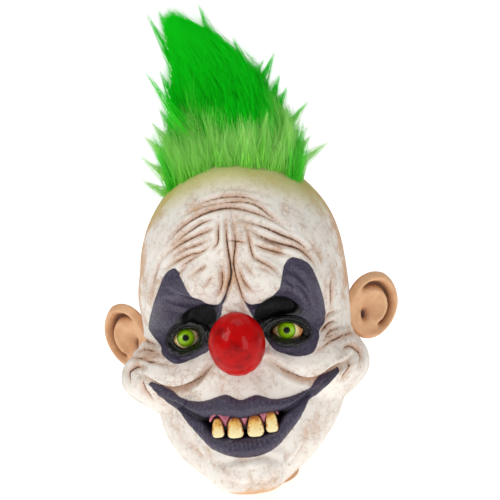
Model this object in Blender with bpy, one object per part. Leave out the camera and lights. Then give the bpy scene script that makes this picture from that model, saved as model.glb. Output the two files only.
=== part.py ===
"""Full-head latex clown mask with a ball nose, set-in eyes and teeth and a standing fur tuft.

Metres, +Z up. The mask faces -Y and stands on its neck rim, with the origin on the ground
under the middle of its bounding box. Places on the face are given on a drawing of it: how
far across and how far up from the middle of the nose, as shares of two named sizes.
"""

import math

import bmesh
import bpy
import numpy as np
from mathutils import Matrix, Vector
from mathutils.bvhtree import BVHTree

for old in list(bpy.data.objects):
    bpy.data.objects.remove(old, do_unlink=True)


# Driving sizes of the head
HALF_WIDTH = 0.100      # skull above the ears, halved
THIRD = 0.100           # a third of the face, from chin to hairline
DEPTH = 0.228           # middle of the nose to the back of the skull
RELIEF = 0.010          # what the rises and depths of bulges and folds are shares of
WALL = 0.0028           # latex
GAP = 0.0003            # between pieces that touch

# The drawing of the face is seen from a little above and a little to one side
LOOK_DOWN = math.radians(14.5)
LOOK_ASIDE = math.radians(6.4)

# Ball nose
NOSE_HALF_WIDTH = 0.0265
NOSE_HALF_DEPTH = 0.0270
NOSE_HALF_HEIGHT = 0.0300
NOSE_SEAT = 0.0020      # how deep the ball sits in the face

# Eyes, as lens-shaped shells behind almond openings
EYE_RADIUS = 0.0165
EYE_HALF_LENGTH = 0.0150
EYE_HALF_HEIGHT = 0.0098
EYE_THICKNESS = 0.0040
EYE_SET_BACK = 0.0022   # front of the eye behind the lids
POCKET_REACH = 0.0200   # how far its pocket is cut out in front of it
SIGHT_SLIT = 0.0036     # height of the slit above each eye that the wearer sees through
SIGHT_LENGTH = 0.0240
SIGHT_CUT = 0.0500      # longer than any wall is thick

# Teeth and the gum that they hang from
TOOTH_THICKNESS = 0.0055
TOOTH_ROUNDING = 0.0016
TOOTH_TUCK = 0.0010     # how far the teeth's fronts stand out from behind the lip
TOOTH_BOW = 0.0100      # how much further in a tooth a half width aside would stand
GUM_BACKING = 0.0030    # how much thicker the wall is behind the gum
GUM_SEAT = 0.0012       # how deep the gum sits in the back of the mouth
GUM_HEIGHT = 0.0080
GUM_OVERHANG = 0.0025   # past the outermost teeth
GUM_SET_BACK = 0.0006   # behind the middle of the middle teeth
GUM_ROUNDING = 0.0012
MOUTH_DEPTH = 0.0130
GAP_EDGE = 0.0040       # breadth of the step from the lips down into the mouth

# Ears
EAR_LENGTH = 0.0640     # from the skull outwards
EAR_HEIGHT = 0.0700
EAR_THICKNESS = 0.0085
EAR_BELOW_NOSE = 0.0150 # its middle below the middle of the nose
EAR_UNEVEN = 0.0070     # the left ear is this much higher and the right one lower
EAR_SWEEP = math.radians(38)

# Fur tuft
TUFT_HEIGHT = 0.148     # above the crown
TUFT_HALF_WIDTH = 0.068
TUFT_HALF_DEPTH = 0.050
TUFT_LEAN = -0.022      # sideways shift of the tip
FUR_GAP = 0.0006
LOCK_THICKNESS = 0.0125 # half, at its start
LOCK_TIP = 0.0012       # half, at its tip
LOCK_SIDES = 6


# Head form from the neck rim to the crown: height above the nose, half width, and how far
# behind the middle of the nose its front, widest line and back lie. The jaw hangs a little
# to the wearer's right.
# height (THIRD), half width (HALF_WIDTH), front, widest, back (DEPTH), fullness,
# shift to the side (HALF_WIDTH)
SECTIONS = (
    (-1.60, 0.40, 0.260, 0.47, 0.830, 2.1, -0.06),
    (-1.54, 0.40, 0.245, 0.47, 0.825, 2.1, -0.06),
    (-1.48, 0.43, 0.130, 0.42, 0.825, 2.2, -0.06),
    (-1.36, 0.53, 0.066, 0.36, 0.828, 2.2, -0.05),
    (-1.21, 0.67, 0.044, 0.33, 0.842, 2.2, -0.045),
    (-1.02, 0.80, 0.048, 0.33, 0.860, 2.2, -0.03),
    (-0.80, 0.88, 0.052, 0.35, 0.885, 2.2, -0.01),
    (-0.50, 0.93, 0.048, 0.39, 0.930, 2.2, 0.00),
    (-0.20, 0.97, 0.052, 0.43, 0.975, 2.2, 0.00),
    (0.10, 0.98, 0.056, 0.45, 1.000, 2.1, 0.00),
    (0.38, 0.97, 0.056, 0.46, 0.998, 2.1, 0.00),
    (0.64, 0.94, 0.056, 0.47, 0.980, 2.1, 0.00),
    (0.88, 0.865, 0.072, 0.48, 0.935, 2.1, 0.00),
    (1.09, 0.74, 0.118, 0.49, 0.868, 2.0, 0.00),
    (1.28, 0.56, 0.188, 0.50, 0.784, 2.0, 0.00),
    (1.42, 0.40, 0.275, 0.51, 0.710, 2.0, 0.00),
    (1.52, 0.22, 0.392, 0.515, 0.625, 2.0, 0.00),
    (1.56, 0.00, 0.517, 0.517, 0.517, 2.0, 0.00),
)

# Soft volumes of the face, each an oval dome or hollow on the drawing
# across, up, half length, half height, lean in degrees, rise (RELIEF), edge
BULGES = (
    (-0.85, -0.25, 0.48, 0.36, 0, 2.90, 1.3),
    (0.92, -0.275, 0.49, 0.34, 0, 2.10, 1.3),
    (0.00, -0.78, 0.80, 0.62, 0, 1.30, 2.0),
    (0.00, -1.20, 0.44, 0.33, 0, 1.20, 1.5),
    (-0.16, -1.19, 0.19, 0.17, 0, 0.40, 1.5),
    (0.17, -1.21, 0.17, 0.16, 0, 0.38, 1.5),
    (-0.29, 0.58, 0.30, 0.27, 25, 1.00, 1.4),
    (0.28, 0.53, 0.30, 0.27, -25, 1.00, 1.4),
    (0.01, 0.30, 0.17, 0.50, 0, 0.70, 2.0),
    (-0.66, 0.50, 0.34, 0.34, 40, 0.55, 2.0),
    (0.70, 0.46, 0.34, 0.34, -40, 0.55, 2.0),
    (-0.44, 0.18, 0.42, 0.34, -8, -1.50, 1.6),
    (0.46, 0.16, 0.42, 0.34, 8, -1.50, 1.6),
    (-0.46, 0.08, 0.24, 0.20, -4, 0.75, 1.2),
    (0.47, 0.06, 0.24, 0.20, 4, 0.75, 1.2),
    (-0.30, 0.30, 0.18, 0.09, 20, -0.70, 1.2),
    (0.37, 0.27, 0.24, 0.09, -4, -0.70, 1.2),
    (-0.02, 1.00, 0.55, 0.50, 0, 0.45, 2.0),
)

# Main creases and rolls, each through four places on the drawing; a roll has a negative depth
# four places as across, up; half breadth and depth (RELIEF)
FOLDS = (
    ((-0.20, -0.16), (-0.42, -0.33), (-0.66, -0.37), (-0.96, -0.20), 0.45, 0.85),
    ((0.23, -0.15), (0.47, -0.34), (0.72, -0.40), (1.06, -0.20), 0.45, 0.85),
    ((-0.24, -0.05), (-0.42, -0.21), (-0.66, -0.25), (-0.86, -0.16), 0.85, -0.70),
    ((0.27, -0.07), (0.46, -0.22), (0.70, -0.27), (0.94, -0.16), 0.85, -0.70),
    ((-0.84, -0.15), (-0.95, -0.12), (-1.04, -0.17), (-1.04, -0.30), 0.30, 0.45),
    ((0.95, -0.17), (1.06, -0.13), (1.13, -0.22), (1.09, -0.35), 0.30, 0.45),
    ((-0.91, -0.26), (-0.90, -0.34), (-0.86, -0.43), (-0.80, -0.52), 0.30, 0.40),
    ((1.04, -0.24), (1.01, -0.33), (0.97, -0.40), (0.91, -0.48), 0.30, 0.40),
    ((-0.92, 0.11), (-0.87, 0.11), (-0.80, 0.08), (-0.74, 0.05), 0.30, 0.35),
    ((-0.91, 0.03), (-0.87, 0.03), (-0.80, 0.01), (-0.69, -0.06), 0.30, 0.35),
    ((0.77, 0.02), (0.82, 0.06), (0.88, 0.10), (0.96, 0.12), 0.30, 0.35),
    ((0.67, -0.17), (0.78, -0.11), (0.90, -0.05), (1.10, -0.02), 0.30, 0.35),
    ((-0.52, -0.82), (-0.50, -0.93), (-0.44, -1.02), (-0.37, -1.11), 0.35, 0.45),
    ((0.56, -0.80), (0.55, -0.98), (0.46, -1.10), (0.36, -1.17), 0.35, 0.45),
    ((-0.30, -1.14), (-0.12, -1.08), (0.12, -1.08), (0.30, -1.14), 0.40, 0.45),
    ((0.00, -1.14), (0.00, -1.20), (0.00, -1.26), (0.01, -1.31), 0.35, 0.35),
    ((-0.30, 1.30), (-0.05, 1.36), (0.18, 1.35), (0.42, 1.25), 0.35, 0.35),
    ((-0.58, 0.97), (-0.25, 1.21), (0.16, 1.24), (0.63, 0.96), 0.35, 0.45),
    ((-0.61, 0.88), (-0.34, 1.07), (-0.20, 1.13), (-0.08, 1.16), 0.30, 0.35),
    ((0.09, 1.15), (0.36, 1.05), (0.62, 0.90), (0.78, 0.74), 0.35, 0.45),
    ((-0.65, 0.82), (-0.51, 0.93), (-0.18, 1.06), (-0.05, 1.10), 0.30, 0.40),
    ((0.11, 1.10), (0.35, 0.95), (0.65, 0.82), (0.81, 0.62), 0.35, 0.45),
    ((-0.63, 0.73), (-0.40, 0.84), (-0.23, 0.88), (-0.09, 0.97), 0.30, 0.45),
    ((0.22, 0.85), (0.32, 0.73), (0.40, 0.67), (0.47, 0.60), 0.30, 0.40),
    ((0.01, 1.20), (0.00, 0.96), (0.00, 0.67), (-0.09, 0.40), 0.30, 0.45),
    ((0.08, 1.20), (0.07, 0.95), (0.05, 0.65), (0.14, 0.33), 0.30, 0.45),
    ((-0.60, 0.20), (-0.50, 0.27), (-0.36, 0.28), (-0.24, 0.21), 0.28, -0.35),
    ((0.27, 0.16), (0.38, 0.24), (0.52, 0.24), (0.66, 0.15), 0.28, -0.35),
    ((-0.62, 0.02), (-0.52, -0.05), (-0.38, -0.03), (-0.28, 0.06), 0.30, -0.30),
    ((0.30, 0.03), (0.40, -0.05), (0.54, -0.06), (0.66, 0.00), 0.30, -0.30),
)

# Lips and the gap between them, from corner to corner
# across, top of upper lip, top of gap, bottom of gap, bottom of lower lip
MOUTH = (
    (-0.86, -0.27, -0.28, -0.28, -0.29),
    (-0.71, -0.36, -0.41, -0.43, -0.47),
    (-0.60, -0.41, -0.49, -0.51, -0.57),
    (-0.50, -0.48, -0.58, -0.62, -0.72),
    (-0.39, -0.50, -0.65, -0.71, -0.88),
    (-0.30, -0.49, -0.66, -0.82, -0.97),
    (-0.15, -0.46, -0.67, -0.87, -1.04),
    (-0.02, -0.52, -0.69, -0.88, -1.06),
    (0.13, -0.49, -0.67, -0.88, -1.05),
    (0.27, -0.54, -0.66, -0.84, -0.99),
    (0.38, -0.54, -0.65, -0.71, -0.89),
    (0.50, -0.52, -0.59, -0.61, -0.76),
    (0.60, -0.48, -0.52, -0.54, -0.60),
    (0.72, -0.41, -0.45, -0.47, -0.52),
    (0.93, -0.31, -0.32, -0.32, -0.33),
)
LIP_RISE = 0.55         # RELIEF
LIP_FULL = 0.10         # THIRD: a lip this thick has its full rise

# Teeth, left to right
# across, half width (HALF_WIDTH), root and tip up the drawing (THIRD)
TEETH = (
    (-0.255, 0.058, -0.69, -0.85),
    (-0.095, 0.076, -0.70, -0.87),
    (0.090, 0.078, -0.70, -0.875),
    (0.245, 0.058, -0.69, -0.85),
)

# Eye openings: across, up, lean in degrees
EYES = {"eye_right": (-0.470, 0.085, -3), "eye_left": (0.480, 0.075, -3)}

# Slits under the brows: across, up, lean in degrees
SIGHT_SLITS = ((-0.31, 0.29, 14), (0.40, 0.265, 0))

# Ear outline round its middle: degrees from straight out, reach as a share of its half size
EAR_OUTLINE = (
    (0, 0.96), (30, 1.00), (60, 1.04), (90, 1.00), (120, 0.96), (150, 0.90),
    (180, 0.86), (210, 0.84), (240, 0.84), (270, 0.86), (300, 0.84), (330, 0.88),
)

# The fur's backing and body over the crown: share of the tuft's height, left and right edges
# (shares of its half width) and half depth (share of its half depth)
TUFT_SECTIONS = (
    (-0.30, -0.90, 0.90, 0.90),
    (0.00, -0.94, 0.92, 0.96),
    (0.19, -0.86, 0.84, 0.84),
    (0.37, -0.78, 0.60, 0.68),
    (0.52, -0.74, 0.38, 0.52),
    (0.67, -0.72, 0.10, 0.36),
    (0.80, -0.70, -0.20, 0.22),
)

# Rings of locks that stand out of the body: share of the tuft's height that they start at,
# how many, length (share of the tuft's height), how far they lean outwards
LOCK_RINGS = (
    (-0.10, 13, 0.34, 0.42),
    (0.10, 12, 0.36, 0.34),
    (0.28, 10, 0.36, 0.28),
    (0.46, 8, 0.36, 0.22),
    (0.62, 6, 0.34, 0.16),
    (0.74, 4, 0.27, 0.10),
)

# Grids and thinning
SKIN_COLUMNS = 128
SKIN_LEVELS = 104
SKIN_TRIANGLES = 4640
HOLLOW_TRIANGLES = 1300
CROWN_COLUMNS = 64
CROWN_LEVELS = 52
FRONT_CROWDING = 0.5    # how much closer the columns stand at the face
RIM_CUT = 0.0100        # how far the hollow is cut on below the neck rim
FUR_GRAIN = 0.0028      # of the mesh that fuses the locks
FUR_THINNING = 0.029    # share of the fused fur's faces that is kept


RIM_HEIGHT = SECTIONS[0][0] * THIRD
NOSE_FORWARD = (DEPTH + NOSE_HALF_DEPTH) / 2 - DEPTH
TO_WORLD = Matrix.Translation((0, NOSE_FORWARD, -RIM_HEIGHT))

# Axes of the drawing: across it, up it and into the face
ACROSS = np.array([math.cos(LOOK_ASIDE), math.sin(LOOK_ASIDE), 0.0])
UP = np.array([
    -math.sin(LOOK_ASIDE) * math.sin(LOOK_DOWN),
    math.cos(LOOK_ASIDE) * math.sin(LOOK_DOWN),
    math.cos(LOOK_DOWN),
])
INTO = np.cross(UP, ACROSS)


def smooth_rows(rows, at, before, after):
    """The rows of a table at the places in at, counted in rows, on a smooth curve."""
    rows = np.vstack([before, np.array(rows, float), after])
    step = np.clip(np.floor(at).astype(int), 0, len(rows) - 4)
    part = (at - step)[..., None]
    a, b, c, d = (rows[step + k] for k in range(4))
    return 0.5 * (2 * b + (c - a) * part + (2 * a - 5 * b + 4 * c - d) * part**2
                  + (3 * b - a - 3 * c + d) * part**3)


def head_form(turn, level):
    """The plain head at angles round it and levels up it, about the middle of the nose."""
    first, second = (np.array(SECTIONS[k]) for k in (0, 1))
    height, half, front, widest, back, full, aside = SECTIONS[-2]
    over_the_crown = (height, -half, back, widest, front, full, aside)
    row = smooth_rows(SECTIONS, level, 2 * first - second, over_the_crown)
    height, half, front, widest, back, full, aside = np.moveaxis(row, -1, 0)
    side, ahead = np.sin(turn), np.cos(turn)
    reach = np.where(ahead > 0, widest - front, back - widest) * DEPTH
    x = (aside + half * np.sign(side) * np.abs(side) ** (2 / full)) * HALF_WIDTH
    y = widest * DEPTH - reach * np.sign(ahead) * np.abs(ahead) ** (2 / full)
    return np.stack([x, y, height * THIRD], -1)


def outward(surface, turn, level):
    """Unit normals of a surface that is given by turn and level."""
    small = 0.02
    crown = len(SECTIONS) - 1
    below = np.clip(level, 0, crown - 2 * small)
    round_it = surface(turn + small, below) - surface(turn - small, below)
    up_it = surface(turn, below + small) - surface(turn, below - small)
    normal = np.cross(round_it, up_it)
    normal /= np.linalg.norm(normal, axis=-1, keepdims=True)
    return np.where((level > crown - small)[..., None], (0.0, 0.0, 1.0), normal)


def drawn(points):
    """Where points lie on the drawing, in its two shares."""
    return points @ ACROSS / HALF_WIDTH, points @ UP / THIRD


def eased(share):
    share = np.clip(share, 0, 1)
    return share * share * (3 - 2 * share)


def on_face(points, level):
    """1 on the face, falling to 0 behind the ears and on the plain neck."""
    return eased((0.72 - points[..., 1] / DEPTH) / 0.22) * eased((level - 1.1) / 1.5)


def bulge_rise(across, up):
    rise = np.zeros_like(across)
    for at_x, at_y, length, height, lean, top, edge in BULGES:
        turn = math.radians(lean)
        dx, dy = across - at_x, up - at_y
        along = (dx * math.cos(turn) + dy * math.sin(turn)) / length
        over = (dy * math.cos(turn) - dx * math.sin(turn)) / height
        rise += top * np.clip(1 - along**2 - over**2, 0, 1) ** edge
    return rise * RELIEF


def fold_rise(across, up, folds):
    """Creases and rolls, each fading out at its two ends."""
    rise = np.zeros_like(across)
    for *places, breadth, depth in folds:
        places = np.array(places)
        steps = np.linspace(0, len(places) - 1, 13)
        ends = 2 * places[0] - places[1], 2 * places[-1] - places[-2]
        line = smooth_rows(places, steps, ends[0], ends[1]) * (HALF_WIDTH, THIRD)
        here = np.stack([across * HALF_WIDTH, up * THIRD], -1)
        nearest = np.full(across.shape, 1.0)
        along = np.zeros(across.shape)
        for k in range(len(line) - 1):
            run = line[k + 1] - line[k]
            share = np.clip((here - line[k]) @ run / (run @ run), 0, 1)
            away = np.linalg.norm(here - line[k] - share[..., None] * run, axis=-1)
            along = np.where(away < nearest, (k + share) / (len(line) - 1), along)
            nearest = np.minimum(nearest, away)
        fade = np.clip(np.sin(np.pi * along), 0, 1) ** 0.6
        rise -= depth * fade * np.exp(-((nearest / (breadth * RELIEF)) ** 1.6))
    return rise * RELIEF


def mouth_rise(across, up):
    """Two full lips with the dark gap of the mouth sunk between them."""
    columns = np.array(MOUTH).T
    lip_top, gap_top, gap_bottom, lip_bottom = (
        np.interp(across, columns[0], column) for column in columns[1:]
    )
    inside = (across > columns[0][0]) & (across < columns[0][-1])
    rise = np.zeros_like(across)
    for high, low in ((lip_top, gap_top), (gap_bottom, lip_bottom)):
        thick = np.maximum(high - low, 1e-6)
        share = np.clip((high - up) / thick, 0, 1)
        rise += LIP_RISE * RELIEF * np.sin(np.pi * share) ** 0.7 * np.clip(thick / LIP_FULL, 0, 1)
    edge = np.minimum(gap_top - up, up - gap_bottom) * THIRD
    deepest = np.clip((gap_top - gap_bottom) * THIRD / MOUTH_DEPTH * 1.5, 0, 1) * MOUTH_DEPTH
    rise -= deepest * eased(edge / GAP_EDGE)
    return np.where(inside, rise, 0)


def face_form(turn, level):
    """The head with the soft volumes of the face."""
    plain = head_form(turn, level)
    rise = bulge_rise(*drawn(plain)) * on_face(plain, level)
    return plain + outward(head_form, turn, level) * rise[..., None]


def skin_rise(turn, level):
    """Folds and mouth, measured out from the face form."""
    points = face_form(turn, level)
    across, up = drawn(points)
    return (fold_rise(across, up, FOLDS) + mouth_rise(across, up)) * on_face(points, level)


def skin(turn, level):
    rise = skin_rise(turn, level)
    return face_form(turn, level) + outward(face_form, turn, level) * rise[..., None]


# Where the wall is thicker behind what is set into the face: across, up, radius, added depth
BACKINGS = (
    *((eye[0], eye[1], 0.30, EYE_THICKNESS + EYE_SET_BACK) for eye in EYES.values()),
    (0.0, 0.0, 0.45, 1.6 * NOSE_SEAT),
    (0.0, -0.70, 0.55, GUM_BACKING),
)


def hollow(turn, level):
    """The inside of the mask, a wall's thickness from everything on the outside."""
    rise = skin_rise(turn, level)
    for ring in (0.5, 1.0, 1.6):
        for k in range(8):
            aside = ring * WALL * math.cos(k * math.pi / 4) / HALF_WIDTH
            above = ring * WALL * math.sin(k * math.pi / 4) / THIRD * 5
            near = skin_rise(turn + aside, np.clip(level + above, 0, len(SECTIONS) - 1))
            rise = np.minimum(rise, near + WALL * (1 - math.sqrt(max(0, 1 - ring**2))))
    points = face_form(turn, level)
    across, up = drawn(points)
    sunk = WALL * np.ones_like(across)
    for at_x, at_y, radius, added in BACKINGS:
        far = ((across - at_x) ** 2 + (up - at_y) ** 2) / radius**2
        sunk += added * np.clip(1.6 * (1 - far), 0, 1) * on_face(points, level)
    return points + outward(face_form, turn, level) * (rise - sunk)[..., None]


def link(name, mesh_maker, colour, roughness, smooth=40):
    """A new object from a bmesh, with its own material."""
    mesh = bpy.data.meshes.new(name)
    mesh_maker.to_mesh(mesh)
    mesh_maker.free()
    obj = bpy.data.objects.new(name, mesh)
    bpy.context.collection.objects.link(obj)
    material = bpy.data.materials.new(name)
    material.use_nodes = True
    surface = material.node_tree.nodes["Principled BSDF"]
    surface.inputs["Base Color"].default_value = (*colour, 1)
    surface.inputs["Roughness"].default_value = roughness
    mesh.materials.append(material)
    mesh.shade_smooth()
    mesh.set_sharp_from_angle(angle=math.radians(smooth))
    return obj


def cutter(name, mesh_maker):
    """A helper that only cuts or joins, and isn't part of the mask."""
    obj = link(name, mesh_maker, (1, 0, 1), 1)
    obj.hide_render = True
    obj.display_type = "WIRE"
    return obj


def boolean(obj, other, operation):
    modifier = obj.modifiers.new(other.name, "BOOLEAN")
    modifier.operation = operation
    modifier.solver = "EXACT"
    modifier.object = other


def thin_out(obj, triangles):
    """Fewer faces where the shape is smooth."""
    obj.data.calc_loop_triangles()
    modifier = obj.modifiers.new("thin out", "DECIMATE")
    modifier.ratio = triangles / len(obj.data.loop_triangles)


def wrapped_grid(surface, columns, levels, below=0.0):
    """A grid wrapped into a closed solid round a surface, from the neck rim to the crown."""
    made = bmesh.new()
    bmesh.ops.create_grid(made, x_segments=columns, y_segments=levels, size=1)
    flat = np.array([vert.co for vert in made.verts])
    turn = np.pi * flat[:, 0] - FRONT_CROWDING * np.sin(np.pi * flat[:, 0])
    level = (flat[:, 1] + 1) / 2 * (len(SECTIONS) - 1)
    places = surface(turn, level)
    places[level < 1e-6, 2] = RIM_HEIGHT
    for vert, place in zip(made.verts, places):
        vert.co = TO_WORLD @ Vector(place)
    bmesh.ops.remove_doubles(made, verts=made.verts, dist=1e-6)
    rim = [edge for edge in made.edges if edge.is_boundary]
    if below:
        new = bmesh.ops.extrude_edge_only(made, edges=rim)["geom"]
        moved = [item for item in new if isinstance(item, bmesh.types.BMVert)]
        bmesh.ops.translate(made, verts=moved, vec=(0, 0, -below))
        rim = [edge for edge in made.edges if edge.is_boundary]
    bmesh.ops.edgeloop_fill(made, edges=rim)
    bmesh.ops.recalc_face_normals(made, faces=made.faces)
    return made


def drawing_matrix(across, up, into, lean=0.0):
    """Places a piece made on a page: its X across the drawing, Y up it, Z out of it."""
    place = ACROSS * across * HALF_WIDTH + UP * up * THIRD + INTO * into
    axes = Matrix((ACROSS, UP, -INTO)).transposed().to_4x4()
    return TO_WORLD @ Matrix.Translation(place) @ axes @ Matrix.Rotation(math.radians(lean), 4, "Z")


def face_depths():
    """Where the finished skin lies behind the drawing's page, ready to be asked."""
    made = wrapped_grid(skin, SKIN_COLUMNS, SKIN_LEVELS)
    tree = BVHTree.FromBMesh(made)
    made.free()

    def ask(across, up):
        page = ACROSS * across * HALF_WIDTH + UP * up * THIRD - INTO * DEPTH
        hit = tree.ray_cast(TO_WORLD @ Vector(page), Vector(INTO))
        return hit[3] - DEPTH

    return ask


depth_at = face_depths()


def nose_shape(grow):
    """The ball, flat at the back where it sits in the face."""
    made = bmesh.new()
    bmesh.ops.create_uvsphere(made, u_segments=24, v_segments=14, radius=1)
    size = (NOSE_HALF_WIDTH + grow, NOSE_HALF_DEPTH + grow, NOSE_HALF_HEIGHT + grow)
    bmesh.ops.scale(made, vec=size, verts=made.verts)
    bmesh.ops.transform(made, matrix=TO_WORLD, verts=made.verts)
    back = depth_at(0, -0.28) + NOSE_SEAT + grow
    plane = dict(plane_co=TO_WORLD @ Vector((0, back, 0)), plane_no=(0, 1, 0))
    geom = made.verts[:] + made.edges[:] + made.faces[:]
    bmesh.ops.bisect_plane(made, geom=geom, clear_outer=True, **plane)
    rim = [edge for edge in made.edges if edge.is_boundary]
    bmesh.ops.edgeloop_fill(made, edges=rim)
    bmesh.ops.recalc_face_normals(made, faces=made.faces)
    return made


def almond(share):
    """An eye's outline at a share of the way round: a pointed oval."""
    turn = 2 * math.pi * share
    pinch = 1 - 0.35 * abs(math.cos(turn)) ** 3
    return EYE_HALF_LENGTH * math.cos(turn), EYE_HALF_HEIGHT * math.sin(turn) * pinch


def eye_shape(at, grow, ahead):
    """A lens of the eyeball behind its almond opening; ahead makes the pocket's cutter longer."""
    across, up, lean = at
    made = bmesh.new()
    sides, rings = 20, 5
    front = depth_at(across, up) + EYE_SET_BACK
    made_rings = []
    for ring in range(rings, 0, -1):
        loop = []
        for side in range(sides):
            x, y = almond(side / sides)
            far = ring / rings * (1 + grow / EYE_HALF_HEIGHT)
            x, y = x * far, y * far
            bow = EYE_RADIUS - math.sqrt(EYE_RADIUS**2 - x * x - y * y)
            loop.append(made.verts.new((x, y, ahead if ahead else -bow)))
        made_rings.append(loop)
    for outer, inner in zip(made_rings, made_rings[1:]):
        for k in range(sides):
            made.faces.new((outer[k - 1], outer[k], inner[k], inner[k - 1]))
    made.faces.new(made_rings[-1])
    rim = [edge for edge in made.edges if edge.is_boundary]
    new = bmesh.ops.extrude_edge_only(made, edges=rim)["geom"]
    lowest = -EYE_HALF_LENGTH**2 / (2 * EYE_RADIUS) * 1.3 - EYE_THICKNESS / 2 - grow
    for item in new:
        if isinstance(item, bmesh.types.BMVert):
            item.co.z = lowest
    bmesh.ops.edgeloop_fill(made, edges=[edge for edge in made.edges if edge.is_boundary])
    bmesh.ops.transform(made, matrix=drawing_matrix(across, up, front, lean), verts=made.verts)
    bmesh.ops.recalc_face_normals(made, faces=made.faces)
    return made


def block(matrix, size, bevel):
    """A box with rounded edges, its middle at the matrix's place."""
    made = bmesh.new()
    bmesh.ops.create_cube(made, size=1)
    bmesh.ops.scale(made, vec=size, verts=made.verts)
    if bevel:
        bmesh.ops.bevel(made, geom=made.edges[:], offset=bevel, segments=2, profile=0.5,
                        affect="EDGES", material=-1)
    bmesh.ops.transform(made, matrix=matrix, verts=made.verts)
    return made


def tooth_depth():
    """How far behind the page the teeth's middle plane lies: just inside the lips."""
    return depth_at(0, -0.60) + LIP_RISE * RELIEF + TOOTH_THICKNESS / 2 - TOOTH_TUCK


def tooth_shape(row, grow):
    """A worn peg tooth, broader at its tip and rounded across."""
    across, half, root, tip = row
    high = (root - tip) * THIRD
    middle = (root + tip) / 2
    size = (2 * (half * HALF_WIDTH + grow), high + 2 * grow, TOOTH_THICKNESS + 2 * grow)
    place = drawing_matrix(across, middle, tooth_depth() + abs(across) * TOOTH_BOW)
    made = block(Matrix(), size, TOOTH_ROUNDING)
    for vert in made.verts:
        share = vert.co.y / high
        vert.co.x *= 0.97 - 0.10 * share
    bmesh.ops.transform(made, matrix=place, verts=made.verts)
    return made


def gum_shape(grow):
    """The bar of gum along the roots of the teeth, let into the dark back of the mouth."""
    overhang = GUM_OVERHANG / HALF_WIDTH
    reach = TEETH[-1][0] + TEETH[-1][1] + overhang
    start = TEETH[0][0] - TEETH[0][1] - overhang
    root = TEETH[1][2]
    back = depth_at((reach + start) / 2, (TEETH[1][2] + TEETH[1][3]) / 2) + GUM_SEAT
    front = tooth_depth() + GUM_SET_BACK
    size = ((reach - start) * HALF_WIDTH + 2 * grow, GUM_HEIGHT + 2 * grow, back - front + 2 * grow)
    up = root + GUM_HEIGHT / THIRD * 0.25
    made = block(Matrix(), size, GUM_ROUNDING)
    place = drawing_matrix((reach + start) / 2, up, (front + back) / 2)
    bmesh.ops.transform(made, matrix=place, verts=made.verts)
    return made


def slit_shape(at):
    """What is cut through the wall for the wearer to see."""
    across, up, lean = at
    place = drawing_matrix(across, up, depth_at(across, up), lean)
    return block(place, (SIGHT_LENGTH, SIGHT_SLIT, SIGHT_CUT), 0.0)


def ear_shape(side):
    """A broad round ear with a rolled rim round a hollow, swept back from the skull."""
    made = bmesh.new()
    bmesh.ops.create_uvsphere(made, u_segments=20, v_segments=12, radius=1)
    angles = [math.radians(row[0]) for row in EAR_OUTLINE] + [2 * math.pi]
    reaches = [row[1] for row in EAR_OUTLINE] + [EAR_OUTLINE[0][1]]
    for vert in made.verts:
        x, y, z = vert.co
        flat = math.hypot(x, y)
        turn = math.atan2(y, x) % (2 * math.pi)
        reach = np.interp(turn, angles, reaches)
        rim = math.exp(-((flat - 0.86) / 0.16) ** 2)
        cup = math.exp(-((flat / 0.55) ** 2))
        thick = math.sqrt(max(0, 1 - flat**6)) / 2
        front = thick + 0.45 * rim - 0.35 * cup
        back = -thick + 0.25 * rim - 0.55 * cup
        vert.co = (
            x * reach * EAR_LENGTH / 2,
            y * reach * EAR_HEIGHT / 2,
            (front if z > 0 else back) * EAR_THICKNESS if abs(z) > 1e-6 else 0.1 * EAR_THICKNESS,
        )
    outwards = Vector((math.cos(EAR_SWEEP), math.sin(EAR_SWEEP), 0))
    up = Vector((0, -0.10, 1)).normalized()
    facing = outwards.cross(up).normalized()
    axes = Matrix((outwards, facing.cross(outwards), facing)).transposed().to_4x4()
    height = side * EAR_UNEVEN - EAR_BELOW_NOSE
    root = Vector((HALF_WIDTH * 0.92, DEPTH * 0.46, height))
    place = Matrix.Translation(root + outwards * EAR_LENGTH * 0.44) @ axes
    bmesh.ops.transform(made, matrix=place, verts=made.verts)
    if side < 0:
        bmesh.ops.scale(made, vec=(-1, 1, 1), verts=made.verts)
        bmesh.ops.reverse_faces(made, faces=made.faces)
    bmesh.ops.transform(made, matrix=TO_WORLD, verts=made.verts)
    return made


CROWN_HEIGHT = SECTIONS[-1][0] * THIRD
CROWN_BACK = SECTIONS[-1][3] * DEPTH


def tuft_section(share):
    """Middle and half sizes of the fur's body at a share of its height."""
    heights, left, right, deep = np.array(TUFT_SECTIONS).T
    left = np.interp(share, heights, left) * TUFT_HALF_WIDTH
    right = np.interp(share, heights, right) * TUFT_HALF_WIDTH
    middle = Vector(((left + right) / 2, CROWN_BACK, CROWN_HEIGHT + share * TUFT_HEIGHT))
    return middle, (right - left) / 2, np.interp(share, heights, deep) * TUFT_HALF_DEPTH


def stacked(made, rings):
    """Closes a stack of rings into one solid."""
    for lower, upper in zip(rings, rings[1:]):
        for k in range(len(lower)):
            made.faces.new((lower[k - 1], lower[k], upper[k], upper[k - 1]))
    made.faces.new(rings[0][::-1])
    made.faces.new(rings[-1])


def ring_at(made, middle, half_wide, half_deep, sides):
    ring = bmesh.ops.create_circle(made, cap_ends=False, radius=1, segments=sides)["verts"]
    bmesh.ops.scale(made, vec=(half_wide, half_deep, 1), verts=ring)
    bmesh.ops.translate(made, vec=middle, verts=ring)
    return ring


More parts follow.
